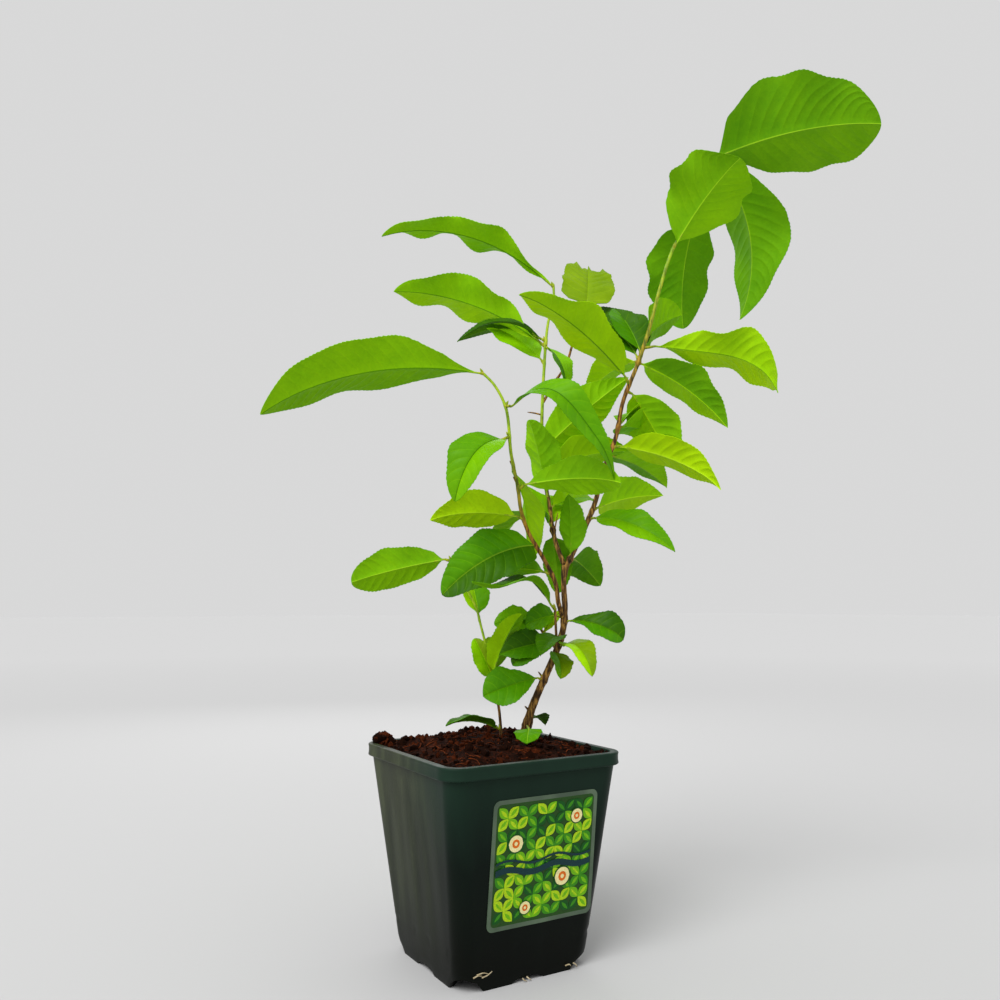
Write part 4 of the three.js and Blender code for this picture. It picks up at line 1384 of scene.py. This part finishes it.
def leaf_axes(heading, rise, roll):
    """The blade's own axes: along it, out of its upper face, and across it."""
    h, r, turn = np.radians([heading, rise, roll])
    along = np.array([np.cos(r) * np.cos(h), np.cos(r) * np.sin(h), np.sin(r)])
    face = unit(UP - along * along[2])
    face = face * np.cos(turn) + np.cross(along, face) * np.sin(turn)
    return along, face, np.cross(along, face)


def leaf_rows(length):
    """Shares of the length for the grid's rows, two close together at every vein."""
    veins = max(4, int(length / VEIN_GAP) + 2)
    marks = (np.arange(veins) + 0.5) / veins
    half = VEIN_WIDTH / length / 2
    steps = max(3, int(length / veins / ROW_GAP))
    between = [np.linspace(a + half, b - half, steps + 1) for a, b in zip(marks[:-1], marks[1:])]
    first = np.linspace(0, marks[0] - half, max(2, steps // 2 + 1))
    last = np.linspace(marks[-1] + half, 1, steps)
    return np.concatenate([first, *between, last]), marks, half


print("columns of a blade:", 2 * HALF_COLUMNS + 1)

# %% [markdown]
# The blade's outline
#
# A leaf's edge swells to a belly and narrows to a tip, and no two halves are quite alike.
# A drawn curve for each leaf would be slow to make. Here each half is a sine whose share
# is bent by a power, so that two numbers give slim, full, round and blunt leaves, and a
# habit then ripples it, pinches it, narrows its foot or draws its tip out to a tail.

# %% Blade outline
NARROWEST = 0.25
TAIL_HALF = 0.35
PINCH_REACH = 0.09
RIPPLE_FADE = 6
FOOT_POWER = 0.8


def blade_half(share, width, outline):
    """Half the width: the sine of the share's power, drawn in by a power, never quite none."""
    belly, bluntness = outline
    full = np.clip(np.sin(np.pi * share ** belly), 0, 1) ** bluntness
    return np.maximum(NARROWEST, width / 2 * full)


def blade_edge(share, plus, width, outline, habit, wild):
    """Half the width on both sides, after the habit.

    Half = outline * (1 + ripple * sine) * (1 - pinch * bell) * foot's taper, and over the
    tail's share it goes evenly to a point."""
    kept = share * habit["cut"]
    second = habit["second"] or outline
    half = np.where(plus, blade_half(kept, width, second), blade_half(kept, width, outline))
    turns = share * habit["ripples"] + np.where(plus, wild.random(), wild.random())
    half = half * (1 + habit["ripple"] * np.sin(2 * np.pi * turns) * (1 - share ** RIPPLE_FADE))
    pinch_at, pinch = habit["pinch"]
    half = half * (1 - pinch * np.exp(-((share - pinch_at) / PINCH_REACH) ** 2))
    taper = np.clip(share / habit["foot"], 0.02, 1) ** FOOT_POWER
    half = np.maximum(NARROWEST, half * taper)
    tail = habit["tail"]
    pointed = np.maximum(TAIL_HALF, half * (1 - share) / max(tail, 1e-6))
    return np.where(share > 1 - tail, pointed, half)


print("narrowest half blade in mm:", NARROWEST)

# %% [markdown]
# The blade's skins
#
# The skin is lifted off its flat outline by a sum: the arch from foot to tip, the fold
# at the rib, the swelling between veins, the edge's waves and the curl of the tip. The
# under skin follows it at the blade's thickness, which has a ridge at each vein.

# %% Blade skins
LEAF_FOLD = 0.3
BLADE_THICK = 0.42
EDGE_THICK = 0.22
SWEEP = 0.75
SWEEP_POWER = 1.3
SWEEP_UNEVEN = 0.2
SWELL = 0.017
RIB_RIDGE = 0.4
RIB_HALF = 0.17
RIB_GROWTH = 0.0042
RIB_LIMIT = 0.4
RIB_FADE = 0.8
RIB_GROOVE = 0.22
VEIN_RIDGE = 0.12
VEIN_REACH = 0.3
TOOTH = 0.5
TOOTH_GAP = 1.9
CURL_FROM = 0.8
WIDE_NOTCH = 1.1
SMALL_NOTCH = 2.3
SMALL_SHARE = 0.6
PLAIN_HABIT = {
    "second": None, "ripple": 0.03, "ripples": 3.3, "pinch": (0.5, 0.0), "foot": 0.08, "tail": 0.0,
    "torn": 0.0, "slant": 0.0, "cut": 1.0, "quilt": 1.0, "wave": 0.045, "waves": 2.1,
    "fold": LEAF_FOLD, "sway": 0.0, "curl": 0.3, "veer": 0.0,
}


def blade_lift(share, start, offset, out, fraction, phase, leaf, wave_turn):
    """How high the blade stands over its flat outline.

    Height = 4 * arch * length * share * (1 - share) + fold * offset + swelling between
    veins + waves at the edge + sway - curl at the tip - a groove over the rib."""
    length, width, arch, habit = leaf
    quilt = SWELL * width * habit["quilt"]
    swell = np.sin(np.pi * (phase % 1.0)) ** 0.8 * (1 - fraction ** 4) * np.clip(4 * out, 0, 1)
    swell = quilt * swell * np.sin(np.pi * np.clip(start, 0.02, 0.98)) ** 0.5
    wave = habit["wave"] * width * np.sin(2 * np.pi * wave_turn) * fraction ** 2
    wave = wave * np.sin(np.pi * share) ** 0.5
    lift = 4 * arch * length * share * (1 - share) + habit["fold"] * np.abs(offset) + swell + wave
    lift = lift + habit["sway"] * length * np.sin(2 * np.pi * share)
    curl = habit["curl"] * length * np.clip(share - CURL_FROM, 0, 1) ** 2
    return lift - curl - RIB_GROOVE * (offset == 0)


def blade_thickness(start, offset, fraction, phase, rib_half, length, veins):
    """Thin at the edge, thicker inside, with a ridge under the rib and under each vein."""
    ridge = RIB_RIDGE * (1 - RIB_FADE * start) * np.exp(-(offset / (2 * rib_half)) ** 2)
    vein_away = np.abs((phase + 0.5) % 1.0 - 0.5) * length / veins
    ridge = ridge + VEIN_RIDGE * np.exp(-(vein_away / VEIN_REACH) ** 2) * (1 - fraction ** 2)
    return EDGE_THICK + (BLADE_THICK - EDGE_THICK) * (1 - fraction ** 3) + ridge


def blade_paints(start, marks, vein_half, tints, rows):
    """A paint for each face of the upper and of the under skin: half, vein or rib."""
    left, right, rib = tints.split()
    face_row = np.repeat(np.arange(rows - 1), 2 * HALF_COLUMNS)
    face_column = np.tile(np.arange(2 * HALF_COLUMNS), rows - 1)
    sides = np.where(face_column < HALF_COLUMNS, finish_number[left], finish_number[right])
    middle_of_row = (start[face_row] + start[face_row + 1]) / 2
    on_vein = np.abs(middle_of_row[:, None] - marks).min(axis=1) < vein_half
    from_rib = np.abs(face_column - HALF_COLUMNS + 0.5)
    on_vein = on_vein & (from_rib < HALF_COLUMNS - 1)
    rib_paint = finish_number[f"{left} {rib}"]
    paints = np.where(from_rib < 1, rib_paint, np.where(on_vein, sides + 1, sides))
    under_paints = np.where(from_rib < 1, rib_paint, np.where(on_vein, sides + 1, sides + 2))
    return paints, under_paints, finish_number[left]


print("blade thickness in mm:", BLADE_THICK)

# %% Whole blade
def leaf_shell(base, row, wild):
    """The upper and under skins of a blade, closed round the edge, and a paint for each face.

    Point = base + along * share * length + across * offset + face * height."""
    heading, rise, length, width, roll, arch = row[1:7]
    outline, tints = row[8:10]
    habit = {**PLAIN_HABIT, **(row[10] if len(row) > 10 else {})}
    along, face, across = leaf_axes(heading, rise, roll)
    starts, marks, vein_half = leaf_rows(length)
    start = starts[:, None]
    columns = np.arange(-HALF_COLUMNS, HALF_COLUMNS + 1)
    plus = columns > 0
    out = np.clip((np.abs(columns) - 1) / (HALF_COLUMNS - 1), 0, 1)
    sweep = SWEEP * width / length / 2 * np.sin(np.pi * start) * out ** SWEEP_POWER
    lean = 1 + SWEEP_UNEVEN * np.sign(columns) * (wild.random() - 0.5)
    share = np.clip(start + sweep * lean, 0, 1)
    half = blade_edge(share, plus, width, outline, habit, wild)
    rib_half = RIB_HALF + RIB_GROWTH * length * (1 - start) ** 1.3
    rib_half = np.minimum(rib_half, RIB_LIMIT * half)
    tooth = (share * length / TOOTH_GAP + wild.random()) % 1.0 - 0.5
    tooth = TOOTH * tooth * np.clip(4 * share, 0, 1) * np.clip(6 * (1 - share), 0, 1) * (out > 0.99)
    offset = rib_half * (columns != 0) + (half + tooth - rib_half) * out
    offset = np.sign(columns) * offset
    fraction = np.clip(np.abs(offset) / half, 0, 1)
    phase = (start - marks[0]) * len(marks)
    wave_turn = share * habit["waves"] + np.where(plus, wild.random(), wild.random())
    leaf = (length, width, arch, habit)
    lift = blade_lift(share, start, offset, out, fraction, phase, leaf, wave_turn)
    thick = blade_thickness(start, offset, fraction, phase, rib_half, length, len(marks))
    notches = np.sin(WIDE_NOTCH * columns + 1) + SMALL_SHARE * np.sin(SMALL_NOTCH * columns)
    torn = habit["torn"] * notches * share ** 8
    torn = torn + habit["slant"] * np.sign(columns) * out * share ** 3
    veer = habit["veer"] * length * 4 * share * (1 - share)
    middle = base + along * (share * length * (1 + torn))[..., None] + across * (offset + veer)[..., None]
    upper = middle + face * (lift + BLADE_THICK / 2)[..., None]
    under = middle + face * (lift + BLADE_THICK / 2 - thick)[..., None]
    rows, across_count = offset.shape
    faces, edge_count = shell_faces(rows, across_count)
    paints, under_paints, edge_paint = blade_paints(starts, marks, vein_half, tints, rows)
    points = np.concatenate([upper.reshape(-1, 3), under.reshape(-1, 3)])
    closing_paint = np.full(edge_count, edge_paint)
    return to_frame(points), faces, np.concatenate([paints, under_paints, closing_paint])


print("blade helper ready")

# %% Where the stalk runs
STALK_LEAN = 0.5
STALK_SUNK = 5.0
STALK_TURN = 0.6


def stalk_route(limb, row):
    """Where a leaf's stalk runs: out of the limb's axis and round into the blade's direction."""
    height, heading, rise, length = row[:4]
    roll, arch, stalk = row[5:8]
    sway = row[10].get("sway", 0.0) if len(row) > 10 else 0.0
    walked = walk_at_height(limb, height)
    node, ahead = at_walk(limb, np.array([walked, min(walked + 0.5, limb["length"])]))
    if walked + 0.5 > limb["length"]:
        node, ahead = at_walk(limb, np.array([walked - 0.5, walked]))
        node, ahead = ahead, 2 * ahead - node
    along, face, across = leaf_axes(heading, rise, roll)
    lead = unit(STALK_LEAN * unit(ahead - node) + along)
    base = node + lead * stalk
    sunk = min(STALK_SUNK, 0.25 * length)
    lift = 4 * arch * sunk * (1 - sunk / length) - BLADE_THICK
    lift = lift + sway * length * np.sin(2 * np.pi * sunk / length)
    places = [node, node + STALK_TURN * (base - node), base, base + along * sunk + face * lift]
    return smooth_route(places, 6), base


print("stalk helper ready")

# %% [markdown]
# Bark and stems
#
# The trunk's bark is grey-brown with long shallow furrows, stubs and rings where leaves
# fell. Higher up the boughs are golden brown and then green, where the wood is one
# season old. A tube with an image would do from afar. Here the bark's relief is in the
# mesh, and one finish turns from brown to green by an age that each point carries.

# %% Bark shape
FURROWS = 9
FURROW_DRIFT = 0.05
FURROW_BEND = 1.3
FURROW_SHARE = 0.5
KNOT_TURN = 3.2
KNOT_SIZE = 1.6
KNOT_SEEDS = 99
RING_TURN = 1.9
RING_SHARE = 0.2
NODE_SWELL = 0.2
NODE_LENGTH = 1.3
END_OVERLAP = 1.4
END_ROUND = 0.9
END_CLOSED = 0.96


def limb_skin(limb, lowest, highest, sides, step, relief, wild):
    """A limb's skin: rings along its line whose radius swells at nodes and has furrows.

    Radius = taper and flare + node rings + relief * (waves round it that drift upwards)."""
    first = max(0.0, walk_at_height(limb, lowest) - END_OVERLAP)
    last = min(limb["length"], walk_at_height(limb, highest) + END_OVERLAP)
    walked = np.linspace(first, last, max(4, int((last - first) / step)))
    route = at_walk(limb, walked)
    angle = np.arange(sides) * 2 * np.pi / sides
    radius = limb_radius(limb, walked)[:, None]
    for height in limb["nodes"]:
        node = walk_at_height(limb, height)
        radius = radius + NODE_SWELL * radius * np.exp(-((walked[:, None] - node) / NODE_LENGTH) ** 2)
    along = walked[:, None]
    drift = FURROW_DRIFT * along + wild.random() * 6
    furrow = np.sin(FURROWS * angle + drift + FURROW_BEND * np.sin(3 * angle + 0.11 * along))
    knots = lumps(angle * KNOT_TURN, along, KNOT_SIZE, int(wild.integers(KNOT_SEEDS)))
    ring = np.sin(along * RING_TURN + 2 * np.sin(along * 0.7))
    radius = radius * (1 + relief * (FURROW_SHARE * furrow + knots + RING_SHARE * ring))
    to_end = np.minimum(walked - first, last - walked)[:, None] / END_ROUND
    radius = radius * np.sqrt(1 - np.clip(1 - to_end, 0, END_CLOSED) ** 2)
    green_low, green_high = limb["green"]
    age = np.clip((route[:, 2] - green_low) / (green_high - green_low), 0, 1)
    points, faces = tube(to_frame(route), radius, sides)
    return points, faces, np.repeat(1 - age, sides)


for limb in LIMBS:
    limb["nodes"] = []
for name, limb, lowest, highest, group in MASSES:
    limb["nodes"] += [row[0] for row in LEAVES[group]]
for limb, row in SINGLE_LEAVES.values():
    limb["nodes"].append(row[0])
print("nodes on the limbs:", sum(len(limb["nodes"]) for limb in LIMBS))

# %% [markdown]
# The bark's colours
#
# Three colour ramps over upright streaks stand for old, one-year and new bark, and the
# age that each point of the mesh carries mixes them, so a bough turns from brown through
# gold to green without a seam between its lengths. Painting each length its own colour
# would be simpler, but would show where the part cuts the boughs.

# %% Bark finish
bark = Finish("bark", Roughness=0.75, Specular_IOR_Level=0.3)
bark_age = bark.node("ShaderNodeAttribute", {"attribute_name": "age"}, None, 2)
streaks = bark.noise(0.9, 4.0, stretch=(1, 1, 0.16))
blotch = bark.noise(5.0, 3.0)
old_bark = bark.ramp(streaks * 0.8 + blotch * 0.2, [
    (0.36, paint(30, 18, 6)), (0.5, paint(92, 62, 24)), (0.62, paint(176, 132, 62))])
young_bark = bark.ramp(streaks * 0.5 + blotch * 0.5, [
    (0.36, paint(96, 126, 10)), (0.52, paint(150, 184, 20)), (0.68, paint(184, 200, 40))])
tan_bark = bark.ramp(streaks, [(0.38, paint(62, 32, 6)), (0.62, paint(182, 126, 30))])
lower_mix = bark.node("ShaderNodeMapRange", None, {0: bark_age, 1: 0.35, 2: 0.95})
upper_mix = bark.node("ShaderNodeMapRange", None, {0: bark_age, 1: 0.0, 2: 0.5})
bark.colour(bark.mix(lower_mix, bark.mix(upper_mix, young_bark, tan_bark), old_bark))
bark.feed(bark.shader.inputs["Roughness"], 0.5 + 0.3 * bark_age)
bark.bump(streaks, 0.5, 0.25)
print("bark finish ready")

# %% [markdown]
# Trunk, boughs and stubs
#
# Where a shoot died back it leaves a short dry stub, and where one is to come stands a
# bud. They break the smooth outline of the boughs, which is how the eye tells wood from
# wire. Each is a short bar that leaves the limb's axis and ends in a point, and it is
# joined to the mesh of its own length of limb.

# %% Trunk and boughs
TRUNK_RELIEF = 0.085
BOUGH_RELIEF = 0.06
BARK_STEP = 0.45
BARK_SIDES = 40
STUB_RISE = 0.2
STUB_POINT = 0.98
STUB_AGE = 0.7
STUBS = {
    "trunk": [(TRUNK, 122, 172, 55, 4.6, 0.5), (TRUNK, 106.5, 184, 50, 4.2, 0.55)],
    "bough_middle_upper": [(MIDDLE, 251, 192, 8, 7.6, 0.42)],
    "foliage_left_low": [(LEFT, 219, 150, 62, 5.0, 0.5), (LEFT, 212, 205, 60, 4.4, 0.5)],
    "foliage_right_top": [(RIGHT, 384, 338, -8, 9.0, 0.5)],
    "foliage_middle_low": [(MIDDLE, 190.5, 20, 78, 11.0, 0.4)],
}


def add_stubs(batch, name):
    """Short dry stubs and buds: a tube that leaves the limb's axis and ends in a point."""
    for limb, height, heading, rise, length, thick in STUBS.get(name, []):
        start = at_walk(limb, np.array([walk_at_height(limb, height)]))[0]
        along = leaf_axes(heading, rise, 0)[0]
        bend = start + along * length / 2 + STUB_RISE * UP
        route = smooth_route([start, bend, start + along * length], 5)
        taper = thick * np.sqrt(1 - np.linspace(0, STUB_POINT, len(route)) ** 3)
        batch.add(*tube(to_frame(route), taper, 8), 0, STUB_AGE)


bark_draws = np.random.default_rng(5)
for name, limb, lowest, highest in WOOD:
    relief = TRUNK_RELIEF if limb is TRUNK else BOUGH_RELIEF
    wood = Batch()
    skin = limb_skin(limb, lowest, highest, BARK_SIDES, BARK_STEP, relief, bark_draws)
    wood.add(skin[0], skin[1], 0, skin[2])
    add_stubs(wood, name)
    wood.piece(name + "_bark", [bark], "bark", name)

# %% [markdown]
# Stalks and masses
#
# In each mass the stem's green bark, the stalks and the buds are one mesh and the blades
# are another, since wood and leaf are different kinds of piece. The ten leaves that the
# part names are built in the same way, each as a piece of its own. Instances of one leaf
# would be lighter, but on a plant of some sixty leaves every one has its own length,
# bend and tint, so each is built from its row.

# %% Stalks and buds
STALK_FOOT = 0.85
STALK_TIP = 0.34
STALK_SIDES = 8
STALK_AGE = 0.25
SMALL_LEAF = 30
SMALL_STALK = 0.8
BUD_LEAN = 1.4
BUD_PLACES = (0.3, 1.6, 3.0)
BUD_THICK = 0.62
BUD_POINT = 0.02
BUD_AGE = 0.15


def add_stalk(batch, limb, row):
    """A stalk thins out from the limb to under the blade, with a bud in its upper corner."""
    route, base = stalk_route(limb, row)
    thick = np.linspace(STALK_FOOT, STALK_TIP, len(route))
    thick = thick * (SMALL_STALK if row[3] < SMALL_LEAF else 1.0)
    ages = np.linspace(STALK_AGE, 0, len(route)).repeat(STALK_SIDES)
    batch.add(*tube(to_frame(route), thick, STALK_SIDES), 0, ages)
    node = route[0]
    lead = unit(unit(base - node) + BUD_LEAN * UP)
    bud = smooth_route([node + place * lead for place in BUD_PLACES], 4)
    swell = BUD_THICK * np.sin(np.pi * np.linspace(0.22, 0.98, len(bud))) + BUD_POINT
    batch.add(*tube(to_frame(bud), swell, 6), 0, BUD_AGE)
    return base


print("stalks and buds ready")

# %% Leaves and stems of each mass
STEM_STEP = 0.8
STEM_SIDES = 20
STEM_RELIEF = 0.03
leaf_draws = np.random.default_rng(21)

for name, limb, lowest, highest, group in MASSES:
    stems = Batch()
    skin = limb_skin(limb, lowest, highest, STEM_SIDES, STEM_STEP, STEM_RELIEF, bark_draws)
    stems.add(skin[0], skin[1], 0, skin[2])
    blades = Batch()
    for row in LEAVES[group]:
        base = add_stalk(stems, limb, row)
        blades.add(*leaf_shell(base, row, leaf_draws))
    add_stubs(stems, name)
    stems.piece(name + "_stems", [bark], "bark", name)
    blades.piece(name + "_leaves", leaf_finishes, "foliage", name)

# %% Single leaves and their stalks
for name, (limb, row) in SINGLE_LEAVES.items():
    stems = Batch()
    base = add_stalk(stems, limb, row)
    stems.piece(name + "_stalk", [bark], "bark", name)
    blades = Batch()
    blades.add(*leaf_shell(base, row, leaf_draws))
    blades.piece(name + "_blade", leaf_finishes, "foliage", name)

# %% [markdown]
# The floor
#
# The plant stands on a plain pale floor, large enough to meet the pale world behind it
# without a visible line. Its colour is painted darker near the plant and lighter far off,
# as painted shade that evens out the brighter light the sun and panels throw near it.

# %% Floor
FLOOR_REACH = 12.0
FLOOR_FADE = 2.5
FLOOR_NEAR = 0.53
FLOOR_FAR = 0.61
floor_mesh = bpy.data.meshes.new("floor")
floor_corners = [(x * FLOOR_REACH, y * FLOOR_REACH, 0) for x, y in ((-1, -1), (1, -1), (1, 1), (-1, 1))]
floor_mesh.from_pydata(floor_corners, [], [(0, 1, 2, 3)])
floor = bpy.data.objects.new("floor", floor_mesh)
bpy.context.scene.collection.objects.link(floor)
floor_paint = Finish("floor_paint", Roughness=0.9, Specular_IOR_Level=0.1)
floor_place = floor_paint.node("ShaderNodeTexCoord", output="Object")
floor_away = floor_paint.node("ShaderNodeVectorMath", {"operation": "LENGTH"}, {0: floor_place}, 1)
# Painted shade: the floor is darker near the plant, where the soft panels add their light, and lighter
# far off.
floor_paint.colour(floor_paint.ramp(floor_away / FLOOR_FADE, [
    (0.0, (FLOOR_NEAR, FLOOR_NEAR, FLOOR_NEAR, 1)),
    (1.0, (FLOOR_FAR, FLOOR_FAR, FLOOR_FAR, 1)),
]))
floor_mesh.materials.append(floor_paint.material)
print("floor side in m:", 2 * FLOOR_REACH)
